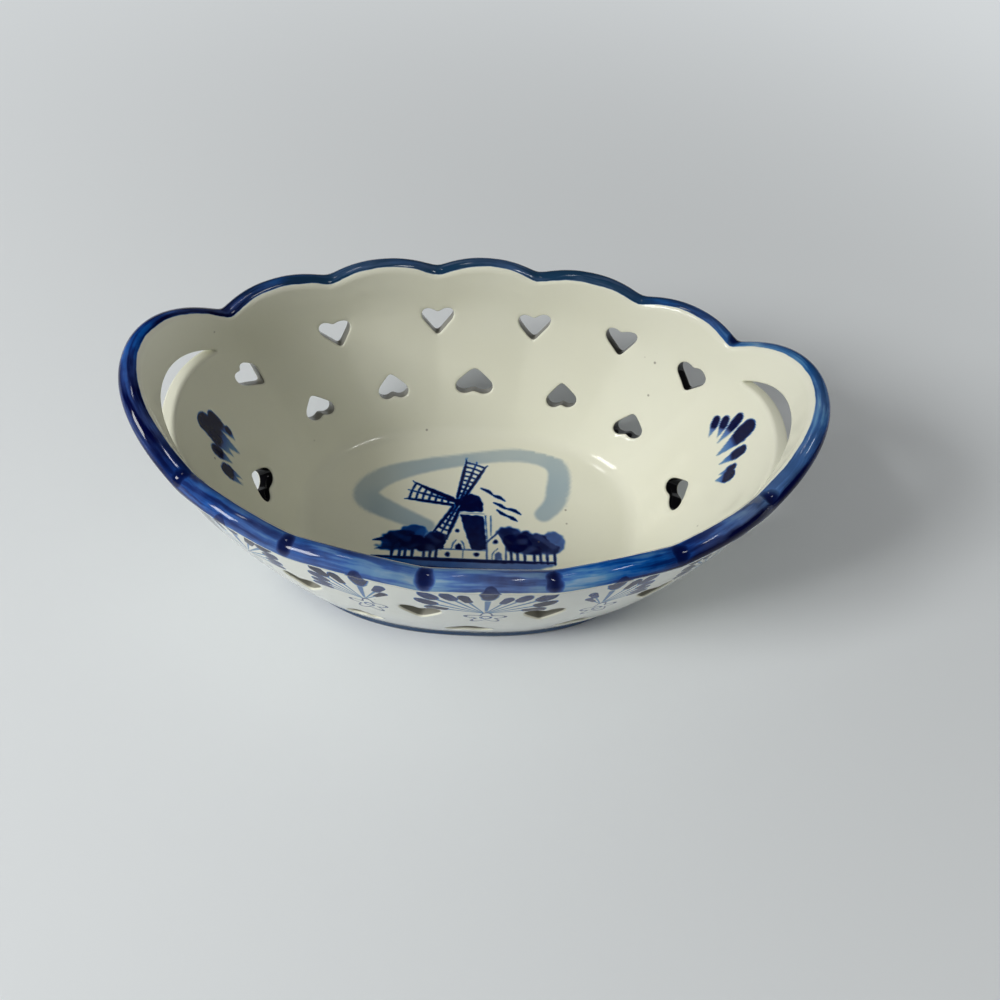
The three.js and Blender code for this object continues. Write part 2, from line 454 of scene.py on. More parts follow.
    def slope(self, turn: Array, rise: Array) -> Array:
        """Measure the way up the wall.

        Args:
            turn: Angles round the dish.
            rise: Shares of the way up.

        Returns:
            Millimetres for a whole rise.
        """
        gap = np.hypot(
            (self.rim_half_length - self.floor_half_length) * np.cos(turn),
            (self.rim_half_width - self.floor_half_width) * np.sin(turn),
        )
        outward = gap * (1.0 + 4.0 * self.belly * (1.0 - 2.0 * rise))
        return np.hypot(outward, self.rim_level(turn) - self.floor_top)


@dataclass(frozen=True)
class HeartCut:
    """One heart as it was really cut by hand.

    Attributes:
        angle: Angle of its middle round the dish, in degrees.
        level: Height of its middle.
        lean: Turn to the left as seen from inside, in degrees.
        shade: How dark the shade painted on the sides of the opening is.
    """

    angle: float
    level: float
    lean: float = 0.0
    shade: float = 0.45


@dataclass(frozen=True)
class HandCuts:
    """All the openings as they were really cut by hand.

    Attributes:
        upper: Hearts with the point below, from the right end round the back.
        lower: Hearts with the point above, from the right end round the back.
        right_handhold_trim: Degrees by which the right hand-hold is shorter at the rear.
        left_handhold_rise: How far the upper edge of the left hand-hold rises.
        left_handhold_dip: How far its lower edge drops.
    """

    upper: tuple[HeartCut, ...] = (
        HeartCut(35.0, 32.4, 14.0, 1.0), HeartCut(56.5, 32.6, 16.0, 0.85), HeartCut(77.5, 31.0, 6.0, 0.6),
        HeartCut(99.1, 30.9), HeartCut(123.5, 30.7, 5.0), HeartCut(151.0, 29.2, 40.0, 0.5),
        *(HeartCut(angle, 28.9) for angle in (212.5, 238.0, 261.0, 282.7, 305.5, 329.5)))
    lower: tuple[HeartCut, ...] = (
        HeartCut(3.0, 16.1, 0.0, 1.0), HeartCut(40.9, 15.9, 15.0, 1.0), HeartCut(66.2, 16.5, 15.0, 0.65),
        HeartCut(90.2, 17.0, 0.0, 0.55), HeartCut(112.4, 16.3), HeartCut(138.1, 16.3),
        HeartCut(181.5, 15.8, 0.0, 1.0),
        *(HeartCut(angle, 16.6) for angle in (220.8, 246.7, 270.0, 293.3, 319.2)))
    right_handhold_trim: float = 2.8
    left_handhold_rise: float = 1.3
    left_handhold_dip: float = 3.5


class WrapTree:
    """Geometry nodes that lay the flat pattern of the dish on its bellied, lobed form."""

    ATTRIBUTES = (
        "turn", "rise", "depth", "spread", "over", "level", "on_wall", "on_bead",
        "bead_out", "bead_up", "swell_out", "swell_up", "thicken",
    )
    NAMED_SIZES = (
        "floor_half_length", "floor_half_width", "floor_squareness", "floor_top", "foot_height",
        "heel_overhang", "wall_thickness", "belly", "rim_half_length", "rim_half_width",
        "rim_height", "rim_end_rise",
    )

    def __init__(self, sizes: BasketSizes, material: bpy.types.Material) -> None:
        """Write the tree.

        Args:
            sizes: Sizes of the dish.
            material: Its glaze.
        """
        self.sizes = sizes
        self.tree = bpy.data.node_groups.new("wrap_on_basket", "GeometryNodeTree")
        self.identifiers: dict[str, str] = {}
        self._interface()
        self._write(material)

    def _interface(self) -> None:
        """Give the tree its geometry sockets and one named input for each size."""
        face = self.tree.interface
        face.new_socket("Geometry", in_out="INPUT", socket_type="NodeSocketGeometry")
        face.new_socket("Geometry", in_out="OUTPUT", socket_type="NodeSocketGeometry")
        for name in self.NAMED_SIZES:
            title = name.replace("_", " ").title()
            socket = face.new_socket(title, in_out="INPUT", socket_type="NodeSocketFloat")
            self.identifiers[name] = socket.identifier

    def _write(self, material: bpy.types.Material) -> None:
        """Write the nodes that place every point, then realize and set the glaze.

        Args:
            material: The glaze.
        """
        nodes = Nodes(self.tree)
        entry = nodes.node("NodeGroupInput")
        size = {n: Sock(nodes, entry.outputs[n.replace("_", " ").title()]) for n in self.NAMED_SIZES}
        mark = {
            name: nodes.make(
                "GeometryNodeInputNamedAttribute", {"data_type": "FLOAT"}, {"Name": name}, "Attribute")
            for name in self.ATTRIBUTES
        }
        place = self._place(nodes, size, mark)
        moved = nodes.make(
            "GeometryNodeSetPosition", None,
            {"Geometry": Sock(nodes, entry.outputs["Geometry"]), "Position": place})
        whole = nodes.make("GeometryNodeRealizeInstances", None, {"Geometry": moved})
        glazed = nodes.make(
            "GeometryNodeSetMaterial", None, {"Geometry": whole, "Material": material})
        nodes.node("NodeGroupOutput", None, {"Geometry": glazed})

    def _place(self, nodes: Nodes, size: dict[str, Sock], mark: dict[str, Sock]) -> Sock:
        """Work out a point's place from the sizes and the pattern's marks.

        Args:
            nodes: The tree.
            size: Named inputs.
            mark: Attributes of the pattern.

        Returns:
            The place, in metres.
        """
        turn = mark["turn"]
        cos, sin = turn.math("COSINE"), turn.math("SINE")
        long, wide = size["rim_half_length"], size["rim_half_width"]
        nx, ny = cos / long, sin / wide
        norm = (nx * nx + ny * ny).math("SQRT")
        nx, ny = nx / norm, ny / norm
        power = 2.0 / size["floor_squareness"]
        ex = size["floor_half_length"] * cos.math("SIGN") * abs(cos) ** power
        ey = size["floor_half_width"] * sin.math("SIGN") * abs(sin) ** power
        top = size["rim_height"] + size["rim_end_rise"] * (turn * 2.0).math("COSINE") + mark["swell_up"]
        rise = mark["rise"]
        bulge = rise + 4.0 * size["belly"] * rise * (1.0 - rise)

        def skin(overhang: Sock | float, offset: Sock, low: Sock) -> tuple[Sock, Sock, Sock]:
            """Work out a point of one skin of the wall.

            Args:
                overhang: How far its foot stands out from the floor's edge.
                offset: How far its top stands out from the bead's centre line.
                low: Height of its foot.

            Returns:
                The point's three axes.
            """
            reach = offset + mark["swell_out"] * rise * rise
            bx, by = ex + nx * overhang, ey + ny * overhang
            return (
                bx.toward(long * cos + nx * reach, bulge),
                by.toward(wide * sin + ny * reach, bulge),
                low.toward(top, rise),
            )

        half = size["wall_thickness"] * 0.5
        inner = skin(0.0, -half - mark["thicken"], size["floor_top"])
        outer = skin(size["heel_overhang"], half, size["foot_height"])
        wall = [a.toward(b, mark["depth"]) for a, b in zip(inner, outer)]
        base = [
            (ex + nx * mark["over"]) * mark["spread"],
            (ey + ny * mark["over"]) * mark["spread"],
            mark["level"],
        ]
        out = (long * cos - ex) * nx + (wide * sin - ey) * ny
        lean = (out * (1.0 - 4.0 * size["belly"]) + 2.0 * mark["swell_out"]) / (top - size["floor_top"])
        upright = 1.0 / (lean * lean + 1.0).math("SQRT")
        tilt = lean * upright
        away = mark["swell_out"] + mark["bead_out"] * upright + mark["bead_up"] * tilt
        bead = [
            long * cos + nx * away,
            wide * sin + ny * away,
            top - mark["bead_out"] * tilt + mark["bead_up"] * upright,
        ]
        axes = [
            b.toward(w, mark["on_wall"]).toward(r, mark["on_bead"]) * MM
            for b, w, r in zip(base, wall, bead)
        ]
        return nodes.make("ShaderNodeCombineXYZ", None, dict(enumerate(axes)))

    def apply(self, obj: bpy.types.Object) -> bpy.types.Mesh:
        """Run the tree on a pattern.

        Args:
            obj: Object that holds the flat pattern with its marks.

        Returns:
            The finished mesh.
        """
        modifier = obj.modifiers.new("wrap", "NODES")
        modifier.node_group = self.tree
        for name, identifier in self.identifiers.items():
            modifier[identifier] = float(getattr(self.sizes, name))
        graph = bpy.context.evaluated_depsgraph_get()
        mesh = bpy.data.meshes.new_from_object(
            obj.evaluated_get(graph), preserve_all_data_layers=True, depsgraph=graph)
        obj.modifiers.remove(modifier)
        return mesh


class Pattern:
    """Flat pattern of the dish: points that carry marks, and the faces between them."""

    MARKS = WrapTree.ATTRIBUTES + (
        "ink", "band", "lobe_x", "lobe_no", "cusp_gap", "spray_y", "spray_gap",
        "spray_room", "clay", "rim_on", "outside", "bore")

    def __init__(self) -> None:
        """Start an empty pattern."""
        self.marks: dict[str, list[Array]] = {name: [] for name in self.MARKS}
        self.count = 0
        self.faces: list[tuple[int, ...]] = []

    def add(self, turn: Array, **marks: Array | float) -> Array:
        """Add points.

        Args:
            turn: Angle of each point round the dish.
            marks: Other marks, a number or one value for each point; left out ones are 0.

        Returns:
            Places of the new points in the pattern.
        """
        turn = np.asarray(turn, dtype=float)
        marks = {"turn": turn, **marks}
        for name in self.MARKS:
            self.marks[name].append(np.broadcast_to(marks.get(name, 0.0), turn.shape).astype(float))
        places = np.arange(self.count, self.count + len(turn))
        self.count += len(turn)
        return places

    def strip(self, lower: Array, upper: Array) -> None:
        """Join two closed rows of points with quads."""
        for a, b, c, d in zip(lower, np.roll(lower, -1), np.roll(upper, -1), upper):
            self.faces.append((int(a), int(b), int(c), int(d)))

    def cover(self, triangles: Array) -> None:
        """Add triangles given as point numbers."""
        self.faces.extend(tuple(int(corner) for corner in triangle) for triangle in triangles)

    def join(self, rows: Sequence[Array], downward: bool = False) -> None:
        """Join rows of points, each to the next.

        Args:
            rows: The closed rows.
            downward: Whether they run down the outside of the dish.
        """
        for first, second in zip(rows[:-1], rows[1:]):
            if downward:
                self.strip(second, first)
            else:
                self.strip(first[::-1], second[::-1])

    def fan(self, row: Array, tip: int) -> None:
        """Join a closed row to one point."""
        for a, b in zip(row, np.roll(row, -1)):
            self.faces.append((int(a), int(b), tip))

    def mesh(self, name: str) -> bpy.types.Mesh:
        """Make the mesh with its marks as point attributes.

        Args:
            name: Name of the mesh.

        Returns:
            The flat mesh, all points still at the origin.
        """
        mesh = bpy.data.meshes.new(name)
        mesh.from_pydata(np.zeros((self.count, 3)).tolist(), [], self.faces)
        for mark, parts in self.marks.items():
            layer = mesh.attributes.new(mark, "FLOAT", "POINT")
            layer.data.foreach_set("value", np.concatenate(parts).astype(np.float32))
        return mesh


def triangulate(points: Array, loops: Sequence[Array], holes: Sequence[Array]) -> Array:
    """Triangulate points between loops and leave the holes open.

    Args:
        points: Places in the flat chart.
        loops: Closed loops of point numbers that stay as edges.
        holes: Outlines that are left open.

    Returns:
        Triangles as point numbers, counter-clockwise.
    """
    edges = [(int(a), int(b)) for loop in loops for a, b in zip(loop, np.roll(loop, -1))]
    result = geometry.delaunay_2d_cdt([Vector(p) for p in points], edges, [], 0, 1e-7, True)
    origin = np.array([source[0] if source else -1 for source in result[3]])
    if len(result[0]) != len(points) or (origin < 0).any():
        raise ValueError(f"chart loops cross: {len(points)} points became {len(result[0])}")
    faces = np.array([[origin[v] for v in face] for face in result[2]])
    middle = points[faces].mean(axis=1)
    open_face = np.zeros(len(faces), dtype=bool)
    for hole in holes:
        open_face |= inside(middle, hole)
    return faces[~open_face]


def inside(points: Array, outline: Array) -> Array:
    """Tell which points lie inside a closed outline.

    Args:
        points: The points.
        outline: Corners of the outline.

    Returns:
        True for each point inside.
    """
    low, high = outline.min(axis=0), outline.max(axis=0)
    near = np.flatnonzero(((points >= low) & (points <= high)).all(axis=1))
    found = np.zeros(len(points), dtype=bool)
    x, y = points[near, 0], points[near, 1]
    odd = np.zeros(len(near), dtype=bool)
    for (ax, ay), (bx, by) in zip(outline, np.roll(outline, -1, axis=0)):
        if ay == by:
            continue
        crosses = (ay > y) != (by > y)
        odd ^= crosses & (x < ax + (bx - ax) * (y - ay) / (by - ay))
    found[near] = odd
    return found


def resample(outline: Array, count: int, rounds: int) -> Array:
    """Space a closed outline evenly and round its corners.

    Args:
        outline: Points of the outline.
        count: Number of points wanted.
        rounds: How many times each point is drawn toward its neighbours.

    Returns:
        The even outline.
    """
    for _ in range(2):
        closed = np.vstack([outline, outline[:1]])
        run = np.concatenate([[0.0], np.cumsum(np.hypot(*np.diff(closed, axis=0).T))])
        at = np.linspace(0.0, run[-1], count, endpoint=False)
        outline = np.column_stack([np.interp(at, run, closed[:, axis]) for axis in (0, 1)])
        for _ in range(rounds):
            outline = 0.5 * outline + 0.25 * (np.roll(outline, 1, axis=0) + np.roll(outline, -1, axis=0))
        rounds = 1
    return outline


@dataclass
class Cutting:
    """An opening cut through the wall, with rounded lips.

    Attributes:
        outline: Its edge in the chart.
        lip: Radius of the lips.
        steps: Rows of points round each lip.
        stretch: Chart millimetres for one true millimetre, round and up the wall.
        shade: How dark the shade painted on its sides is.
    """

    outline: Array
    lip: float
    steps: int = 4
    stretch: Array = field(default_factory=lambda: np.ones(2))
    shade: float = 0.0

    def ring(self, turned: float) -> tuple[Array, float]:
        """One ring of the lip.

        Args:
            turned: How far round the lip, 0 at the skin and 1 inside the opening.

        Returns:
            The ring's points in the chart and its depth in millimetres.
        """
        flat = self.outline / self.stretch
        along = np.roll(flat, -1, axis=0) - np.roll(flat, 1, axis=0)
        along /= np.hypot(*along.T)[:, None]
        angle = turned * math.pi / 2.0
        off = self.lip * (1.0 - math.sin(angle))
        outward = np.column_stack([along[:, 1], -along[:, 0]])
        return (flat + outward * off) * self.stretch, self.lip * (1.0 - math.cos(angle))


class WallChart:
    """Flat chart of the wall: millimetres round its middle against millimetres up.

    LOW and HIGH are the shares of the wall's rise that the chart's foot and top stand for, TALL is its
    height, MIDDLE the rise along which its length is measured and SEAM the angle where it starts.
    """

    LOW = 0.05
    HIGH = 0.915
    TALL = 42.0
    MIDDLE = 0.55
    SEAM = math.radians(48.5)
    FINE_STEPS = 14400
    HAIR = 1e-6
    SPRAY_OVERLAP = 3.8
    SPRAY_RISE = 0.7
    SPRAY_ROOT = 14.0
    EAR_SPRAY_ROOT = 27.5
    EAR_LEAST_WIDTH = 35.0
    HEART_LIP = 0.35
    HEART_LIP_STEPS = 3
    HEART_POINTS = 56
    HEART_ROUNDING = 3
    HANDHOLD_LEVEL = 40.0
    HANDHOLD_LIP = 0.75
    HANDHOLD_LIP_STEPS = 5
    HANDHOLD_POINTS = 150
    HANDHOLD_ROUNDING = 5

    def __init__(self, sizes: BasketSizes, column: float, row: float) -> None:
        """Measure the wall and space its columns and rows.

        Args:
            sizes: Sizes of the dish.
            column: Rough distance between columns.
            row: Rough distance between rows.
        """
        self.sizes = sizes
        self.fine = np.linspace(self.SEAM, self.SEAM + WHOLE_TURN, self.FINE_STEPS + 1)
        speed = sizes.speed(self.fine, np.full_like(self.fine, self.MIDDLE))
        steps = 0.5 * (speed[1:] + speed[:-1]) * np.diff(self.fine)
        self.run = np.concatenate([[0.0], np.cumsum(steps)])
        self.around = float(self.run[-1])
        cusps = np.sort((sizes.cusps() - self.SEAM) % WHOLE_TURN) + self.SEAM
        self.cusp_runs = self.run_at(cusps)
        stops = np.concatenate([[0.0], self.cusp_runs, [self.around]])
        self.columns = np.concatenate([
            np.linspace(a, b, max(2, round((b - a) / column)), endpoint=False)
            for a, b in zip(stops[:-1], stops[1:])
        ])
        self.turns = self.turn_at(self.columns)
        self.rows = np.linspace(0.0, self.TALL, round(self.TALL / row) + 1)

    def run_at(self, turn: Array) -> Array:
        """Distance round the chart at an angle."""
        return np.interp((np.asarray(turn) - self.SEAM) % WHOLE_TURN + self.SEAM, self.fine, self.run)

    def turn_at(self, run: Array) -> Array:
        """Angle at a distance round the chart."""
        return np.interp(run, self.run, self.fine)

    def rise_at(self, height: Array) -> Array:
        """Share of the way up the wall at a chart height."""
        return self.LOW + (self.HIGH - self.LOW) * np.asarray(height) / self.TALL

    def place(self, turn: Array, level: Array) -> Array:
        """Chart points for angles and true heights."""
        rise = self.sizes.rise_at(np.asarray(turn), np.asarray(level))
        return np.column_stack([self.run_at(turn), (rise - self.LOW) / (self.HIGH - self.LOW) * self.TALL])

    def stretch(self, turn: float, level: float) -> Array:
        """Measure how the chart stretches the wall.

        Args:
            turn: Angle round the dish.
            level: True height.

        Returns:
            Chart millimetres for one true millimetre, round and up the wall.
        """
        at = np.array([turn])
        rise = self.sizes.rise_at(at, np.array([level]))
        round_ = self.sizes.speed(at, np.array([self.MIDDLE])) / self.sizes.speed(at, rise)
        up = self.TALL / ((self.HIGH - self.LOW) * self.sizes.slope(at, rise))
        return np.array([round_[0], up[0]])

    def lobe_marks(self, run: Array, rise: Array) -> dict[str, Array]:
        """Marks that tell a point where it is in its lobe.

        Args:
            run: Distances round the chart.
            rise: Shares of the way up the wall.

        Returns:
            The marks of the swelling and thickening, of the lobe and of its painted spray.
        """
        turn = self.turn_at(run)
        out, up = self.sizes.swell(turn)
        runs = self.cusp_runs
        edges = np.concatenate([[runs[-1] - self.around], runs, [runs[0] + self.around]])
        lobe = np.clip(np.searchsorted(edges, run + self.HAIR) - 1, 0, len(edges) - 2)
        cells = edges.copy()
        for middle in self.run_at(np.array([0.5, 1.5]) * np.pi):
            at = int(np.searchsorted(edges, middle)) - 1
            cells[at] -= self.SPRAY_OVERLAP
            cells[at + 1] += self.SPRAY_OVERLAP
        cell = np.clip(np.searchsorted(cells, run + self.HAIR) - 1, 0, len(cells) - 2)
        centre = 0.5 * (edges[cell] + edges[cell + 1])
        on_ear = edges[cell + 1] - edges[cell] > self.EAR_LEAST_WIDTH
        root = np.where(on_ear, self.EAR_SPRAY_ROOT, self.SPRAY_ROOT)
        slope = self.sizes.slope(turn, np.full_like(turn, self.SPRAY_RISE))
        return {
            "swell_out": out,
            "swell_up": up,
            "thicken": self.sizes.thicken(rise),
            "lobe_x": run - centre,
            "lobe_no": cell % len(runs),
            "cusp_gap": np.minimum(run - edges[lobe], edges[lobe + 1] - run),
            "spray_gap": np.minimum(run - cells[cell], cells[cell + 1] - run),
            "spray_room": np.where(run < centre, centre - cells[cell], cells[cell + 1] - centre),
            "spray_y": root - (1.0 - rise) * slope,
        }

    def heart(self, cut: HeartCut, points_up: bool) -> Cutting:
        """Heart opening.

        Args:
            cut: Where and how it was cut.
            points_up: Whether its point is uppermost.

        Returns:
            The opening.
        """
        size = self.sizes
        radius = size.heart_lobe_radius
        centre = np.array([size.heart_width / 2.0 - radius, size.heart_height / 2.0 - radius])
        tip = np.array([0.0, -size.heart_height / 2.0])
        reach = tip - centre
        start = math.acos(-centre[0] / radius)
        end = math.atan2(reach[1], reach[0]) + math.acos(radius / np.hypot(*reach))
        angles = np.linspace(start, end, 40)
        half = centre + radius * np.column_stack([np.cos(angles), np.sin(angles)])
        side = half[-1] + (tip - half[-1]) * np.linspace(0.0, 1.0, 20)[1:, None]
        right = np.vstack([half, side])
        left = right[::-1][1:-1] * (-1.0, 1.0)
        outline = resample(np.vstack([right, left])[::-1], self.HEART_POINTS, self.HEART_ROUNDING)
        if points_up:
            outline = (outline * (1.0, -1.0))[::-1]
        turn, lean = math.radians(cut.angle), math.radians(cut.lean)
        cos, sin = math.cos(lean), math.sin(lean)
        outline = outline @ np.array([[cos, -sin], [sin, cos]])
        stretch = self.stretch(turn, cut.level)
        middle = self.place(np.array([turn]), np.array([cut.level]))[0]
        return Cutting(middle + outline * stretch, self.HEART_LIP, self.HEART_LIP_STEPS, stretch, cut.shade)

    def handhold(self, turn: float, swell: float, dip: float, trim: float = 0.0) -> Cutting:
        """Crescent opening under the ear.

        Args:
            turn: Angle of its middle.
            swell: How far its upper edge rises.
            dip: How far its lower edge drops.
            trim: Degrees by which its rear tip falls short.

        Returns:
            The opening.
        """
        size = self.sizes
        tip = math.radians(size.handhold_half_angle)
        share = np.linspace(-1.0, 1.0, 121)
        at = turn + share * tip - np.maximum(share, 0.0) * math.radians(trim)
        line = size.rim_level(at) - size.handhold_drop
        lower = self.place(at, line - dip * (1.0 - share**2))
        upper = self.place(at[::-1], (line + swell * (1.0 - share**2))[::-1])
        both = np.vstack([lower[:-1], upper[:-1]])
        outline = resample(both, self.HANDHOLD_POINTS, self.HANDHOLD_ROUNDING)
        stretch = self.stretch(turn, self.HANDHOLD_LEVEL)
        return Cutting(outline, self.HANDHOLD_LIP, self.HANDHOLD_LIP_STEPS, stretch)

    def cuttings(self) -> list[Cutting]:
        """Cut all the openings.

        Returns:
            The upper hearts, the lower hearts, the right hand-hold and the left one.
        """
        hand, size = HandCuts(), self.sizes
        return [
            *(self.heart(cut, False) for cut in hand.upper),
            *(self.heart(cut, True) for cut in hand.lower),
            self.handhold(0.0, size.handhold_rise, size.handhold_dip, hand.right_handhold_trim),
            self.handhold(math.pi, hand.left_handhold_rise, hand.left_handhold_dip),
        ]


class Brush:
    """Hand-painted strokes, each worked out as an amount of ink at given points."""

    def __init__(self, points: Array) -> None:
        """Start with nothing painted.

        Args:
            points: Points in millimetres on the painted surface.
        """
        self.points = points
        self.ink = np.zeros(len(points))
        rough = points @ np.array([[1.3, 0.4], [-0.5, 1.1]])
        self.shake = 0.5 * np.sin(rough[:, 0] * 2.1 + np.sin(rough[:, 1] * 1.7)) + 0.5 * np.sin(
            rough[:, 1] * 2.9 + 1.3 * np.sin(rough[:, 0] * 1.1))

    def lay(self, amount: Array) -> None:
        """Add ink where the new stroke is darker than what lies there."""
        self.ink = np.maximum(self.ink, amount)

    def wipe(self, amount: Array) -> None:
        """Take ink away."""
        self.ink *= 1.0 - amount

    def run(self, path: Sequence[Sequence[float]], smooth_rounds: int = 3) -> tuple[Array, Array]:
        """Distance to a drawn path and the share of its length nearest each point.

        Args:
            path: Corners of the path.
            smooth_rounds: How many times its corners are cut.

        Returns:
            Distance to the path, and the share along it.
        """
        line = np.array(path, dtype=float)
        for _ in range(smooth_rounds if len(line) > 2 else 0):
            cut = np.vstack([0.75 * line[:-1] + 0.25 * line[1:], 0.25 * line[:-1] + 0.75 * line[1:]])
            order = np.argsort(np.concatenate([np.arange(len(line) - 1), np.arange(len(line) - 1) + 0.5]))
            line = np.vstack([line[:1], cut[order], line[-1:]])
        lengths = np.hypot(*np.diff(line, axis=0).T)
        before = np.concatenate([[0.0], np.cumsum(lengths)])
        best = np.full(len(self.points), 1e9)
        share = np.zeros(len(self.points))
        for a, b, length, start in zip(line[:-1], line[1:], lengths, before):
            if length < 1e-9:
                continue
            along = np.clip((self.points - a) @ (b - a) / length**2, 0.0, 1.0)
            gap = np.hypot(*(self.points - a - along[:, None] * (b - a)).T)
            nearer = gap < best
            best[nearer] = gap[nearer]
            share[nearer] = (start + along[nearer] * length) / before[-1]
        return best, share

    def line(
        self, path: Sequence[Sequence[float]], width: Sequence[float], ink: float, soft: float = 0.16,
    ) -> None:
        """Draw a line whose width changes evenly along it.

        Args:
            path: Corners of the line.
            width: Half-widths at even places along it.
            ink: Amount of ink.
            soft: Softness of its edges.
        """
        gap, share = self.run(path)
        half = np.interp(share, np.linspace(0.0, 1.0, len(width)), width)
        self.lay(ink * (1.0 - smooth(gap - half + 0.05 * self.shake, -soft, soft)))

    def fill(
        self, outline: Sequence[Sequence[float]], ink: float, rounds: int = 0, soft: float = 0.16,
    ) -> None:
        """Fill an outline.

        Args:
            outline: Its corners.
            ink: Amount of ink.
            rounds: How far its corners are rounded.
            soft: Softness of its edge.
        """
        corners = resample(np.array(outline, dtype=float), 90, rounds)
        gap, _ = self.run(np.vstack([corners, corners[:1]]), 0)
        gap = np.where(inside(self.points, corners), -gap, gap)
        self.lay(ink * (1.0 - smooth(gap + 0.12 * self.shake, -soft, soft)))

    def blob(
        self, x: float, y: float, wide: float, tall: float, ink: float,
        tilt: float = 0.0, soft: float = 0.22,
    ) -> None:
        """Dab an oval.

        Args:
            x: Place across.
            y: Place up.
            wide: Half-width.
            tall: Half-height.
            ink: Amount of ink.
            tilt: Turn in degrees.
            soft: Softness of its edge.
        """
        cos, sin = math.cos(math.radians(tilt)), math.sin(math.radians(tilt))
        dx, dy = self.points[:, 0] - x, self.points[:, 1] - y
        px, py = (dx * cos + dy * sin) / wide, (dy * cos - dx * sin) / tall
        gap = (np.hypot(px, py) - 1.0) * min(wide, tall) + 0.18 * self.shake
        self.lay(ink * (1.0 - smooth(gap, -soft, soft)))

    def petal(self, head: Sequence[float], tail: Sequence[float], half: float) -> None:
        """Dab a drop that is dark at its head and thins to a pale tail.

        Args:
            head: Middle of the head.
            tail: End of the tail.
            half: Half-width of the head.
        """
        gap, share = self.run([head, tail], 0)
        width = half * np.interp(share, [0.0, 0.25, 0.5, 1.0], [0.9, 1.0, 0.72, 0.1])
        dark = np.interp(share, [0.0, 0.44, 0.56, 0.75, 1.0], [1.0, 1.0, 0.58, 0.46, 0.36])
        self.lay(dark * (1.0 - smooth(gap - width + 0.04 * self.shake, -0.17, 0.17)))


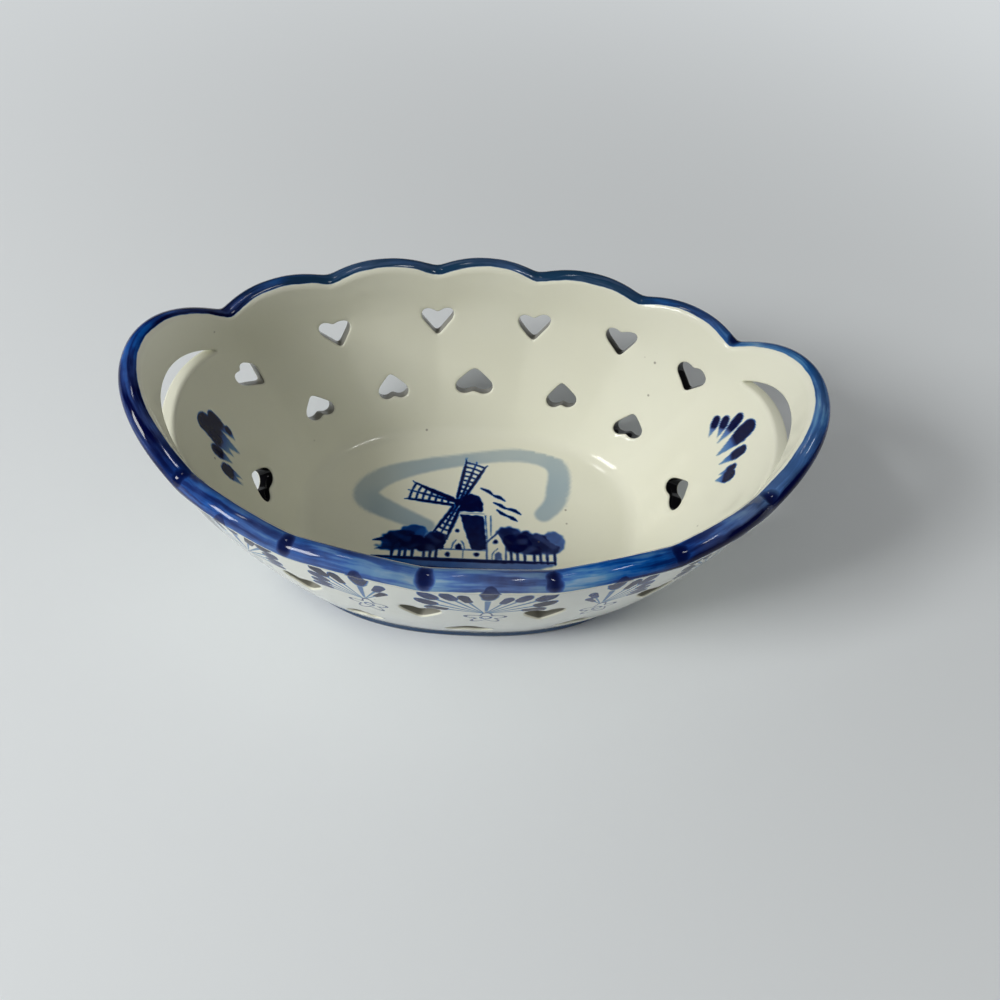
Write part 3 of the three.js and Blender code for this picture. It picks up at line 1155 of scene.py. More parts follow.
class MillScene:
    """Mill, cottages, trees, birds and a cloud wash, painted on the floor of the dish."""

    CLOUD = (
        (-10.5, -3.5), (-15, -1.5), (-20, 0.8), (-25, 3.5), (-26, 6), (-24.5, 9), (-20, 12.5), (-10, 16),
        (0, 18.3), (8, 20), (15, 20.3), (20, 19), (22.5, 16), (22, 10), (21, 5), (18, 1.5),
    )
    BIRDS = (
        ((2.5, 8.8), (4.5, 8.0), (5.5, 6.7), (7.2, 6.2), (8.5, 5.1)),
        ((5.7, 4.5), (7.4, 3.7), (8.6, 2.8), (10.6, 2.5), (12.4, 1.2)),
        ((6.5, 2.3), (8.0, 1.0), (9.8, 0.3), (11.5, -0.9)),
    )
    CLOUD_WIDTHS = (2.0, 2.6, 3.2, 2.9, 2.3, 2.0, 2.0, 2.2, 2.7, 3.0, 2.2)
    BIRD_WIDTHS = (0.16, 0.48, 0.24, 0.52, 0.14)
    LEAF_LIGHT = 0.12
    SAIL_HUB = (-2.8, 4.0)
    GROUND = -13.2

    def paint(self, points: Array) -> Array:
        """Paint the whole scene.

        Args:
            points: Floor points in millimetres.

        Returns:
            Ink at each point.
        """
        brush = Brush(points)
        self._trees(brush)
        x, y = points.T
        leaf = np.sin(x * 1.1 + 1.7 * np.sin(y * 0.9)) + np.sin(y * 1.7 + 2.0 * np.sin(x * 0.7))
        brush.ink *= 1.0 - self.LEAF_LIGHT * smooth(leaf, -0.4, 1.6)
        self._ground(brush)
        self._mill(brush)
        self._cottages(brush)
        self._sails(brush)
        for bird in self.BIRDS:
            brush.line(bird, self.BIRD_WIDTHS, 0.97)
        cloud = Brush(points)
        cloud.line(self.CLOUD, self.CLOUD_WIDTHS, 0.2, 0.55)
        return np.maximum(brush.ink, cloud.ink)

    @staticmethod
    def _sails(brush: Brush) -> None:
        """Paint the lattice sails, their edges running out into points.

        Args:
            brush: The brush.
        """
        for root, tip, narrow, broad, rungs in (
            ((-2.5, 5.6), (1.1, 16.4), 0.8, 2.5, 8),
            ((-4.2, 4.0), (-14.6, 7.1), 0.8, 2.6, 7),
            ((-3.5, 2.3), (-7.0, -5.6), 0.8, 1.7, 6),
        ):
            start, end = np.array(root), np.array(tip)
            along = (end - start) / np.hypot(*(end - start))
            side = np.array([-along[1], along[0]])
            brush.line([MillScene.SAIL_HUB, end + along * 0.9], (0.42, 0.32, 0.3, 0.1), 0.97)
            for sign in (-1.0, 1.0):
                far = end + side * broad * sign
                brush.line([start + side * narrow * sign, far, far + (along + side * sign * 0.5) * 0.8],
                           (0.4, 0.42, 0.42, 0.14), 1.0)
            for step in np.linspace(0.1, 0.98, rungs):
                middle = start + (end - start) * step
                reach = side * (narrow + (broad - narrow) * step)
                bow = along * 0.25
                brush.line([middle - reach, middle + bow, middle + reach], (0.3, 0.24, 0.3), 0.95)
        brush.line([(-4.6, 5.2), (-9.0, 7.1), (-13.4, 9.4)], (0.6, 0.62, 0.2), 1.0)
        brush.blob(-2.8, 4.1, 1.2, 1.2, 1.0)

    @staticmethod
    def _mill(brush: Brush) -> None:
        """Paint the mill's cap and body.

        Args:
            brush: The brush.
        """
        cap = ((-2.9, 1.3), (-2.7, 4.2), (-1.9, 6.2), (0.2, 7.0), (2.2, 6.2), (3.0, 4.4), (3.1, 1.4))
        brush.fill(cap, 1.0, 3)
        brush.fill(((-2.5, 0.4), (3.2, 0.2), (4.3, -9.9), (0.5, -10.1), (-1.2, -4.5)), 0.97)
        brush.line([(-3.0, 0.9), (3.4, 0.85)], (0.12, 0.12), 0.35)
        brush.line([(3.7, 0.3), (4.2, -7.0)], (0.14, 0.1), 0.7)
        brush.line([(5.0, 0.3), (5.1, -5.5)], (0.14, 0.12), 0.75)

    @staticmethod
    def _cottages(brush: Brush) -> None:
        """Paint the gables, the low wall, and their windows and doors.

        Args:
            brush: The brush.
        """
        gable = resample(np.array([(-2.9, -0.2), (-6.4, -10.0), (0.5, -10.0)]), 60, 0)
        low = np.array([(-7.4, -10.0), (4.1, -10.0), (4.1, -12.5), (-7.6, -12.5)])
        right = np.array([(4.0, -7.6), (6.9, -4.6), (8.7, -8.6), (8.7, -12.5), (4.0, -12.5)])
        for shape in (gable, low, right):
            brush.wipe(inside(brush.points, shape).astype(float))
        brush.line([(-3.0, 0.0), (-4.6, -4.6), (-6.9, -10.1)], (0.2, 0.24), 0.8)
        brush.line([(-7.5, -10.1), (4.2, -10.0)], (0.16, 0.16), 0.75)
        brush.line([(4.1, -7.4), (4.15, -12.6)], (0.2, 0.18), 0.8)
        brush.blob(-3.1, -4.4, 0.5, 0.5, 1.0)
        brush.fill(((-3.4, -10.0), (-3.3, -8.7), (-2.7, -8.1), (-2.0, -8.7), (-1.9, -10.0)), 1.0, 1)
        brush.line([(-4.3, -9.9), (-4.0, -8.3), (-3.3, -7.4)], (0.14, 0.14), 0.7)
        brush.line([(-1.2, -9.9), (-1.4, -8.4), (-2.0, -7.5)], (0.14, 0.14), 0.7)
        for x, y in ((-5.2, -11.5), (1.6, -11.3)):
            brush.blob(x, y, 0.62, 0.62, 1.0)
        brush.line([(-1.5, -10.2), (-1.6, -12.4)], (0.12, 0.12), 0.6)
        brush.line([(4.0, -7.7), (6.9, -4.5)], (0.22, 0.22), 0.85)
        brush.line([(6.9, -4.5), (8.9, -9.0)], (0.26, 0.22), 0.85)
        brush.line([(8.7, -8.8), (8.7, -12.5)], (0.2, 0.2), 0.8)
        brush.blob(6.2, -7.5, 0.6, 0.62, 1.0)
        brush.fill(((6.1, -12.5), (6.1, -11.0), (6.9, -10.2), (7.7, -11.0), (7.8, -12.5)), 0.7, 1)
        brush.line([(5.4, -12.4), (5.4, -10.8), (6.7, -9.4)], (0.14, 0.14), 0.75)

    @staticmethod
    def _trees(brush: Brush) -> None:
        """Paint the trees to both sides.

        Args:
            brush: The brush.
        """
        for x, y, wide, tall, ink, tilt in (
            (-13.6, -5.6, 3.4, 2.3, 0.74, 8.0), (-16.8, -7.2, 4.4, 2.2, 0.95, 12.0),
            (-13.6, -8.3, 3.6, 2.4, 1.0, 0.0), (-17.2, -9.7, 4.4, 1.3, 0.92, 4.0),
            (-8.2, -7.9, 3.0, 2.8, 0.98, 0.0), (-10.8, -9.2, 2.8, 1.9, 1.0, 0.0),
            (9.8, -5.3, 3.4, 2.5, 0.95, -14.0), (11.4, -7.4, 3.9, 3.0, 1.0, 0.0),
            (13.4, -6.0, 2.4, 2.2, 0.96, 0.0), (16.4, -7.4, 3.2, 3.0, 0.95, 0.0),
            (20.2, -6.8, 2.8, 3.2, 0.66, 8.0), (18.8, -8.6, 3.0, 1.9, 0.93, 0.0),
            (14.6, -9.3, 3.4, 1.5, 0.98, 0.0),
        ):
            brush.blob(x, y, wide, tall, ink, tilt, 0.34)
        brush.line([(-23.0, -8.3), (-19.6, -7.7), (-17.0, -7.0)], (0.1, 0.8, 1.5), 0.95)
        brush.line([(-22.4, -10.8), (-19.0, -9.9), (-16.0, -9.5)], (0.1, 0.6, 1.0), 0.88)
        for x in (-18.2, -16.4, -15.1, -13.4, -10.7, -9.2, -7.8):
            brush.line([(x, -9.0), (x - 0.2, MillScene.GROUND)], (0.42, 0.3), 0.95)
        for x in (9.9, 11.4, 13.1, 15.4, 16.9, 18.5, 20.3):
            brush.line([(x, -8.8), (x + 0.15, MillScene.GROUND)], (0.4, 0.3), 0.95)

    @staticmethod
    def _ground(brush: Brush) -> None:
        """Paint the ground and the water in front of it.

        Args:
            brush: The brush.
        """
        water = (
            (-23.5, -12.7), (-12.0, -13.0), (6.0, -13.0), (19.5, -12.8), (21.5, -13.4), (15.0, -15.3),
            (2.0, -16.6), (-12.0, -15.9), (-21.0, -14.2))
        brush.fill(water, 0.58, 1, 0.4)
        brush.line([(-23.0, -12.8), (-14.0, -13.1), (0.0, -13.2), (10.0, -13.1), (20.5, -12.8)],
                   (0.2, 0.5, 0.55, 0.5, 0.35), 0.97)
        brush.line([(-15.0, -15.0), (0.0, -15.6), (12.0, -15.0)], (0.2, 0.4, 0.2), 0.85, 0.3)


class EndFlower(Enum):
    """Drops of the flower painted inside each end: head, tail and half-width."""

    RIGHT = (
        ((4.7, 36.2), (4.0, 27.0), 2.1), ((0.6, 33.2), (1.2, 27.0), 1.25), ((8.6, 35.0), (7.0, 28.0), 1.3),
        ((10.8, 32.0), (8.5, 28.5), 1.2), ((12.7, 30.2), (10.3, 26.8), 1.15),
        ((-3.6, 29.2), (-2.3, 25.5), 1.6), ((-1.9, 30.4), (-1.3, 26.5), 0.85),
    )
    LEFT = (
        ((1.2, 33.0), (1.2, 22.8), 2.2), ((0.2, 30.5), (-0.6, 24.0), 1.5), ((4.0, 31.8), (3.6, 24.6), 1.25),
        ((-2.8, 28.6), (-2.6, 24.0), 1.45), ((-6.2, 25.4), (-6.7, 21.0), 1.5),
        ((-5.4, 25.4), (-4.8, 21.2), 1.3), ((4.4, 27.2), (3.5, 24.5), 0.8),
    )

    def paint(self, points: Array) -> Array:
        """Paint the flower.

        Args:
            points: Millimetres from the end's middle, and heights.

        Returns:
            Ink at each point.
        """
        brush = Brush(points)
        for head, tail, half in self.value:
            brush.petal(head, tail, half)
        return brush.ink


@dataclass
class Dish:
    """The glazed body: floor, pierced wall, lobed rim bead, ears and foot in one casting.

    Attributes:
        sizes: Sizes of the dish.
        column: Rough distance between columns of points round the wall.
        row: Rough distance between rows of points up the wall.
        guard: Clear space round the lip of an opening.
        bead_blend: Rows of points from a skin to the bead.
        bead_steps: Rows of points over the bead.
        bead_side: Way over the bead from its top to where the outer skin meets it.
        bead_join: Degrees below the bead's sides at which the skins meet it.
        bead_join_rise: Share of the way up the wall at which they meet it.
        inner_sweep: Degrees over which the inner skin turns into the bead.
        outer_sweep: Degrees over which the outer skin turns into the bead.
        fillet_steps: Rows of points in the fillet round the floor.
        paint_step: Distance between points under the painting.
        floor_step: Distance between the other points of the floor.
        end_scale: Millimetres for each radian where the end flowers are painted.
    """

    sizes: BasketSizes
    column: float = 0.85
    row: float = 1.15
    guard: float = 0.35
    bead_blend: int = 6
    bead_steps: int = 16
    bead_side: float = 3.98
    bead_join: float = 5.0
    bead_join_rise: float = 0.985
    inner_sweep: float = 15.0
    outer_sweep: float = 65.0
    fillet_steps: int = 6
    paint_step: float = 0.3
    floor_step: float = 0.8
    end_scale: float = 41.0

    # The band mark is the way from the rim's top line: RIM_BAND at RIM_RISE of the wall's rise.
    # The floor and the foot are marked as far from it, and from every spray.
    RIM_RISE = 0.96
    RIM_BAND = 4.0
    FAR_INSIDE = -40.0
    FAR_BELOW = 60.0
    NO_SPRAY = -60.0
    MID_WALL = 0.5
    # Share of the wall's thickness that an opening goes through, and share of its lip left out of the
    # painted shade on its sides
    OPENING_SHARE = 0.97
    LIGHT_LIP = 0.9
    # Painted patch of each end: its middle angle, its reach to both sides, its lowest and highest level
    END_PATCHES = ((0.0, (-0.27, 0.36), (21.5, 39.5)), (math.pi, (-0.18, 0.24), (21.2, 37.5)))
    END_REACH = 0.5
    PATCH_START = 0.2
    PATCH_END = 0.1
    # Painted part of the floor and the whole of it, as left, right, front and back
    PAINTED_FLOOR = (-23.6, 23.4, -15.6, 18.2)
    WHOLE_FLOOR = (-38.0, 38.0, -25.0, 25.0)
    PAINTED_MIDDLE = -0.1
    PAINTED_HALF = 23.9
    PAINTED_FRONT = -16.0
    PAINTED_BACK = 18.6
    FLOOR_EDGE_GAP = 0.5
    ROW_SHARE = 0.87
    # Way from the foot ring's inner edge to the flat of the recess
    RECESS_RUN = 3.8

    def __post_init__(self) -> None:
        """Prepare the chart and the empty pattern."""
        self.chart = WallChart(self.sizes, self.column, self.row)
        self.pattern = Pattern()

    def lay_out(self) -> None:
        """Lay out every part of the pattern and join them."""
        cuttings = self.chart.cuttings()
        inner_low, inner_top, inner_rings = self._skin(cuttings, Skin.INNER)
        outer_low, outer_top, outer_rings = self._skin(cuttings, Skin.OUTER)
        for cutting, inner, outer in zip(cuttings, inner_rings, outer_rings):
            self._lip(cutting, inner, outer)
        self._bead(inner_top, outer_top)
        self._floor(inner_low)
        self._foot(outer_low)

    def _below_rim(self, turn: Array, rise: Array) -> Array:
        """Distance down the wall from the rim's top line."""
        return self.RIM_BAND + (self.RIM_RISE - rise) * self.sizes.slope(turn, rise)

    def _swell(self) -> dict[str, Array]:
        """Marks of the lobes' swelling for each column."""
        return dict(zip(("swell_out", "swell_up"), self.sizes.swell(self.chart.turns)))

    def _skin(self, cuttings: list[Cutting], skin: Skin) -> tuple[Array, Array, list[Array]]:
        """Lay out one skin of the wall.

        Args:
            cuttings: The openings.
            skin: Which skin.

        Returns:
            Its lowest row, its highest row, and the ring of points at each opening.
        """
        chart = self.chart
        columns, rows = chart.columns, chart.rows
        count = len(columns)
        rings = [cutting.ring(0.0)[0] for cutting in cuttings]
        grid = np.array([(x, y) for y in rows[1:-1] for x in columns[1:]])
        if skin is Skin.INNER:
            grid = self._with_paint_patches(grid)
        clear = np.ones(len(grid), dtype=bool)
        for cutting in cuttings:
            wider = replace(cutting, lip=cutting.lip + self.guard)
            clear &= ~inside(grid, wider.ring(0.0)[0])
        grid = grid[clear]
        bottom = np.column_stack([columns, np.zeros(count)])
        top = np.column_stack([columns, np.full(count, chart.TALL)])
        left = np.column_stack([np.zeros(len(rows) - 2), rows[1:-1]])
        right = np.array([(chart.around, y) for y in rows])
        points = np.vstack([bottom, top, left, grid, *rings, right])
        ring_starts = np.cumsum([2 * count + len(left) + len(grid)] + [len(ring) for ring in rings])
        loops = [np.arange(a, b) for a, b in zip(ring_starts[:-1], ring_starts[1:])]
        right_at = np.arange(ring_starts[-1], ring_starts[-1] + len(rows))
        left_at = np.concatenate([[0], 2 * count + np.arange(len(left)), [count]])
        border = np.concatenate([
            np.arange(count), right_at, np.arange(count, 2 * count)[::-1], left_at[1:-1][::-1]])
        sewn = np.arange(len(points))
        sewn[right_at] = left_at
        faces = sewn[triangulate(points, [border, *loops], rings)]
        kept = points[: ring_starts[-1]]
        turn, rise = chart.turn_at(kept[:, 0]), chart.rise_at(kept[:, 1])
        marks = chart.lobe_marks(kept[:, 0], rise)
        marks["band"] = self._below_rim(turn, rise) * (1.0 if skin is Skin.OUTER else -1.0)
        if skin is Skin.INNER:
            marks["ink"] = self._end_ink(kept)
        places = self.pattern.add(
            turn, rise=rise, depth=skin.value, on_wall=1.0, outside=skin.value, **marks)
        self.pattern.cover(places[faces] if skin is Skin.OUTER else places[faces][:, ::-1])
        return places[:count], places[count: 2 * count], [places[loop] for loop in loops]

    def _with_paint_patches(self, grid: Array) -> Array:
        """Put finer points where the end flowers are painted.

        Args:
            grid: Plain grid of chart points.

        Returns:
            The grid with two finer patches.
        """
        for middle, sides, levels in self.END_PATCHES:
            corners = self.chart.place(middle + np.array(sides), np.array(levels))
            (x0, y0), (x1, y1) = corners.min(axis=0), corners.max(axis=0)
            away = (grid[:, 0] < x0) | (grid[:, 0] > x1) | (grid[:, 1] < y0) | (grid[:, 1] > y1)
            xs, ys = (
                np.arange(first + self.PATCH_START, last - self.PATCH_END, self.paint_step)
                for first, last in ((x0, x1), (y0, y1)))
            grid = np.vstack([grid[away], np.array([(x, y) for y in ys for x in xs])])
        return grid

    def _end_ink(self, points: Array) -> Array:
        """Paint the end flowers.

        Args:
            points: Chart points.

        Returns:
            Ink at each point.
        """
        size = self.sizes
        turn, rise = self.chart.turn_at(points[:, 0]), self.chart.rise_at(points[:, 1])
        level = size.floor_top + rise * (size.rim_level(turn) - size.floor_top)
        ink = np.zeros(len(points))
        for flower, from_middle in (
            (EndFlower.RIGHT, (turn + np.pi) % WHOLE_TURN - np.pi),
            (EndFlower.LEFT, np.pi - turn % WHOLE_TURN),
        ):
            near = np.abs(from_middle) < self.END_REACH
            ink[near] = flower.paint(np.column_stack([from_middle[near] * self.end_scale, level[near]]))
        return ink

    def _lip(self, cutting: Cutting, inner: Array, outer: Array) -> None:
        """Lay out the rounded lips and the sides of one opening.

        Args:
            cutting: The opening.
            inner: Its ring in the inner skin.
            outer: Its ring in the outer skin.
        """
        chart = self.chart
        thick = self.sizes.wall_thickness * self.OPENING_SHARE
        light = cutting.lip * self.LIGHT_LIP
        turns = np.linspace(0.0, 1.0, cutting.steps + 1)[1:]
        stations = [cutting.ring(t) for t in turns] + [
            (ring, thick - deep) for ring, deep in (cutting.ring(t) for t in turns[::-1])]
        rows = [inner]
        for ring, deep in stations:
            turn, rise = chart.turn_at(ring[:, 0]), chart.rise_at(ring[:, 1])
            # Away from its lips, the sides of the opening carry its painted shade.
            rows.append(self.pattern.add(
                turn, rise=rise, depth=deep / thick, on_wall=1.0, band=self._below_rim(turn, rise),
                bore=cutting.shade if light < deep < thick - light else 0.0,
                **chart.lobe_marks(ring[:, 0] % chart.around, rise)))
        self.pattern.join([*rows, outer])

    def _bead(self, inner: Array, outer: Array) -> None:
        """Lay out the rim bead between the tops of the two skins.

        Args:
            inner: Highest row of the inner skin.
            outer: Highest row of the outer skin.
        """
        chart, radius = self.chart, self.sizes.bead_radius
        rows = [inner]

        def ring(angle: float, rise: float, depth: float, on_bead: float, band: float) -> None:
            """Add one row of the bead or of its blend into a skin.

            Args:
                angle: Degrees round the bead: 0 at its outer side, 90 on top.
                rise: Share of the way up the wall.
                depth: How deep in the wall, 0 inside and 1 outside.
                on_bead: Share of the way from the skin to the bead.
                band: Way from the rim's top line, below 0 inside.
            """
            turned = math.radians(angle)
            marks = chart.lobe_marks(chart.columns, np.full(len(chart.columns), rise))
            if depth == self.MID_WALL:
                marks["spray_y"] += self.bead_side - band
            rows.append(self.pattern.add(
                chart.turns, rise=rise, depth=depth, on_wall=1.0, on_bead=on_bead, band=band, rim_on=1.0,
                bead_out=radius * math.cos(turned), bead_up=radius * math.sin(turned),
                outside=float(depth == Skin.OUTER.value), **marks))

        def blend(share: float, skin: Skin) -> None:
            """Add a row on the way from a skin to the bead.

            Args:
                share: Share of the way.
                skin: Which skin.
            """
            outer_side = skin is Skin.OUTER
            sweep = self.outer_sweep if outer_side else self.inner_sweep
            from_side = sweep * (1.0 - share) + self.bead_join
            away = math.radians(90.0 + from_side) * radius
            ring(
                -from_side if outer_side else 180.0 + from_side,
                chart.HIGH + (self.bead_join_rise - chart.HIGH) * share, skin.value,
                share * share * (3.0 - 2.0 * share), away if outer_side else -away)

        shares = np.linspace(0.0, 1.0, self.bead_blend + 1)[1:]
        for share in shares:
            blend(float(share), Skin.INNER)
        for angle in np.linspace(180.0 + self.bead_join, -self.bead_join, self.bead_steps + 1)[1:-1]:
            ring(float(angle), 1.0, self.MID_WALL, 1.0, math.radians(90.0 - angle) * radius)
        for share in shares[::-1]:
            blend(float(share), Skin.OUTER)
        self.pattern.join([*rows, outer])

    def _edge(self, turn: Array, over: float) -> Array:
        """Draw the outline of the floor, moved outward.

        Args:
            turn: Angles round the dish.
            over: How far it is moved.

        Returns:
            A point for each angle.
        """
        size = self.sizes
        cos, sin = np.cos(turn), np.sin(turn)
        power = 2.0 / size.floor_squareness
        away = np.column_stack([cos / size.rim_half_length, sin / size.rim_half_width])
        away /= np.hypot(*away.T)[:, None]
        return np.column_stack([
            size.floor_half_length * np.sign(cos) * np.abs(cos) ** power,
            size.floor_half_width * np.sign(sin) * np.abs(sin) ** power,
        ]) + away * over

    def _floor(self, wall_row: Array) -> None:
        """Lay out the fillet below the inner skin and the painted floor.

        Args:
            wall_row: Lowest row of the inner skin.
        """
        chart, size = self.chart, self.sizes
        flat = {"level": size.floor_top, "band": self.FAR_INSIDE, "spray_y": self.NO_SPRAY}
        rows = [
            self.pattern.add(
                chart.turns, rise=chart.LOW, on_wall=share**2, spread=1.0,
                over=-size.floor_fillet * (1.0 - share) / (1.0 + share), **flat, **self._swell())
            for share in np.linspace(0.0, 1.0, self.fillet_steps + 1)[:-1]
        ]
        self.pattern.join([*rows, wall_row])
        border = self._edge(chart.turns, -size.floor_fillet)
        grid = self._floor_grid()
        grid = grid[inside(grid, self._edge(chart.turns, -size.floor_fillet - self.FLOOR_EDGE_GAP))]
        faces = triangulate(np.vstack([border, grid]), [np.arange(len(border))], [])
        halves = (size.floor_half_length, size.floor_half_width)
        power = size.floor_squareness
        spread = (np.abs(grid / halves) ** power).sum(axis=1) ** (1.0 / power)
        unit = grid / np.maximum(spread, 1e-6)[:, None] / halves
        shaped = np.sign(unit) * np.abs(unit) ** (power / 2.0)
        turn = np.arctan2(shaped[:, 1], shaped[:, 0])
        places = self.pattern.add(turn, spread=spread, ink=MillScene().paint(grid), **flat)
        self.pattern.cover(np.concatenate([rows[0], places])[faces])

    def _floor_grid(self) -> Array:
        """Space the points of the floor.

        Returns:
            Fine points under the painting and coarser ones round it.
        """
        fine = self._grid(*self.PAINTED_FLOOR, self.paint_step)
        coarse = self._grid(*self.WHOLE_FLOOR, self.floor_step)
        x, y = coarse.T
        painted = np.abs(x - self.PAINTED_MIDDLE) < self.PAINTED_HALF
        painted &= (y > self.PAINTED_FRONT) & (y < self.PAINTED_BACK)
        return np.vstack([fine, coarse[~painted]])

    @staticmethod
    def _grid(x0: float, x1: float, y0: float, y1: float, step: float) -> Array:
        """Space points evenly, with every other row set off by half a step.

        Args:
            x0: Left.
            x1: Right.
            y0: Front.
            y1: Back.
            step: Distance between points.

        Returns:
            The points.
        """
        ys = np.arange(y0, y1, step * Dish.ROW_SHARE)
        return np.array([
            (x, y) for i, y in enumerate(ys) for x in np.arange(x0 + (i % 2) * step / 2, x1, step)])

    def _foot(self, wall_row: Array) -> None:
        """Lay out the heel, the foot ring and the underside.

        Args:
            wall_row: Lowest row of the outer skin.
        """
        chart, size = self.chart, self.sizes
        below = {"band": self.FAR_BELOW, "spray_y": self.NO_SPRAY}
        swell = self._swell()
        rows = [wall_row]
        for rise in (0.03, 0.015, 0.0):
            rows.append(self.pattern.add(chart.turns, rise=rise, depth=1.0, on_wall=1.0, **below, **swell))
        over = size.foot_overhang
        low = over - size.foot_ring_width
        recess = low - self.RECESS_RUN
        # Outline of the foot ring: distance out, level, and 1 where the clay is bare
        for out, level, clay in (
            (over, size.foot_side, 0.0), (over, 0.9, 0.0), (over - 0.12, 0.4, 0.0), (over - 0.4, 0.1, 0.0),
            (over - 0.75, 0.0, 1.0), (low + 0.5, 0.0, 1.0), (low, 0.15, 0.0), (low - 3.2, 2.0, 0.0),
            (recess, size.foot_height, 0.0),
        ):
            rows.append(self.pattern.add(
                chart.turns, spread=1.0, over=out, level=level, clay=clay, **below, **swell))
        for share in (0.8, 0.6, 0.4, 0.2):
            rows.append(self.pattern.add(
                chart.turns, spread=share, over=recess, level=size.foot_height, **below))
        self.pattern.join(rows, downward=True)
        tip = self.pattern.add(np.zeros(1), level=size.foot_height, **below)[0]
        self.pattern.fan(rows[-1][::-1], int(tip))

    def build(self, material: bpy.types.Material) -> bpy.types.Object:
        """Build the glazed body.

        Args:
            material: Its glaze.

        Returns:
            The finished object.
        """
        self.lay_out()
        flat = self.pattern.mesh("dish_pattern")
        obj = put_in_scene("glazed_dish", flat)
        obj.data = WrapTree(self.sizes, material).apply(obj)
        obj.data.name = obj.name
        obj.data.shade_smooth()
        bpy.data.meshes.remove(flat)
        return obj


@dataclass(frozen=True)
class GlazeFinish:
    """Glossy cream glaze with cobalt painted under it.

    Attributes:
        name: Name of the material.
        cream: Colour of the plain glaze inside.
        shaded_outer_white: The same glaze outside, painted a bluer white for the cool shade that the outer
            wall lies in.
        warm: Tint of the clouds in the glaze.
        speck: Colour of the specks in it.
        bare_clay: Colour of the ring that the dish stands on.
        opening_painted_shade: Painted shade on the sides of an opening.
        opening_painted_deep_shade: Painted deep shade on the sides of the openings that lie darkest.
        slate: Greyer blue of the rim at the back and on the right ear, and of the foot.
        cobalt: Colours of the ink by its amount, from thin to thick.
        roughness: Roughness of the glaze.
        shine: Strength of its shine.
        rim_inside: Way of the rim's paint from its top line to the inside.
        rim_outside: Way of the rim's paint from its top line to the outside.
        foot_band: Height of the band round the foot.
        foot_line: Height of the line above it.
        ray_gap: Degrees between the drops of a spray.
        first_ray: Drop nearest the middle of a spray.
        last_ray: Drop farthest from its middle.
        first_reach: Distance of the first drop from the root of the spray.
        reach_step: How much farther out each next drop is.
        last_reach: Distance of the last drop.
        spray_margin: Room between a drop and the end of its lobe.
    """

    name: str = "white_glaze"
    cream: Colour = srgb(229, 229, 212)
    shaded_outer_white: Colour = srgb(222, 227, 226)
    warm: Colour = srgb(221, 220, 199)
    speck: Colour = srgb(92, 84, 72)
    bare_clay: Colour = srgb(214, 200, 176)
    opening_painted_shade: Colour = srgb(104, 102, 94)
    opening_painted_deep_shade: Colour = srgb(10, 10, 14)
    slate: Colour = srgb(36, 74, 100)
    cobalt: tuple[tuple[float, Colour], ...] = (
        (0.2, srgb(157, 174, 182)), (0.36, srgb(78, 132, 178)), (0.56, srgb(6, 82, 162)),
        (0.76, srgb(0, 42, 110)), (0.9, srgb(0, 25, 80)), (1.0, srgb(1, 5, 54)),
    )
    roughness: float = 0.08
    shine: float = 0.21
    rim_inside: float = -2.3
    rim_outside: float = 3.5
    foot_band: float = 4.2
    foot_line: float = 5.6
    ray_gap: float = 11.5
    first_ray: float = 2.0
    last_ray: float = 6.0
    first_reach: float = 9.0
    reach_step: float = 2.5
    last_reach: float = 8.6
    spray_margin: float = 4.3

    def material(self) -> bpy.types.Material:
        """Make the glaze.

        Returns:
            The material.
        """
        made, nodes = blank_material(self.name)
        ink = nodes.mark("ink").most(self._rim(nodes)).most(self._foot(nodes)).most(self._spray(nodes))
        shader = nodes.make("ShaderNodeBsdfPrincipled", None, {
            "Base Color": self._colour(nodes, ink),
            "Roughness": nodes.noise(260.0, 2.0) * 0.05 + (self.roughness - 0.02),
            "IOR": 1.5,
            "Specular IOR Level": self.shine,
            "Normal": self._bump(nodes),
        })
        nodes.node("ShaderNodeOutputMaterial", None, {"Surface": shader})
        return made

    def _rim(self, nodes: PaintNodes) -> Sock:
        """Paint the rim, with a darker touch at each cusp and a painted light that makes its front paler.

        Args:
            nodes: The glaze's tree.

        Returns:
            Its ink.
        """
        plain = nodes.mark("band")
        band = plain + nodes.shake(170.0, 3.0) * 0.8 + nodes.shake(30.0, 1.0) * 2.0
        mask = band.ease(self.rim_inside - 0.15, self.rim_inside + 0.15) * band.ease(
            self.rim_outside + 0.2, self.rim_outside - 0.2) * nodes.mark("rim_on").ease(0.05, 0.2)
        x, y, _ = nodes.axes()
        lane = nodes.make("ShaderNodeCombineXYZ", None, {0: x * 75.0, 1: y * 75.0, 2: band * 0.75})
        streak = nodes.noise(1.0, 4.0, lane).ease(0.34, 0.66)
        pool = nodes.noise(62.0, 4.0).ease(0.32, 0.68)
        edge = band.ease(self.rim_inside + 0.9, self.rim_inside + 0.2).most(
            band.ease(self.rim_outside - 1.0, self.rim_outside - 0.2))
        back, front, left = y.ease(0.02, 0.04), y.ease(-0.03, -0.045), x.ease(-0.035, -0.06)
        ear_inside = x.ease(0.045, 0.062) * band.ease(1.4, -1.0)
        ear_outside = x.ease(0.025, 0.05) * y.ease(0.015, 0.0) * band.ease(0.2, 2.0)
        wash = 0.37 + streak * 0.32 + pool * 0.22 + edge * 0.06
        # Paler at the front: painted light on the rim's shaded front side. Darker at the back and on the
        # left, paler inside the right ear and darker outside it.
        wash = wash + back * 0.2 + left * 0.16 - front * 0.1 - ear_inside * 0.2 + ear_outside * 0.4
        gap = nodes.mark("cusp_gap") + nodes.shake(230.0, 3.0) * 2.4
        touch = ((gap / 1.7) ** 2.0 + ((plain - 0.7) / 3.2) ** 2.0).ease(1.9, 0.1)
        return mask * wash.most(touch * 0.96)

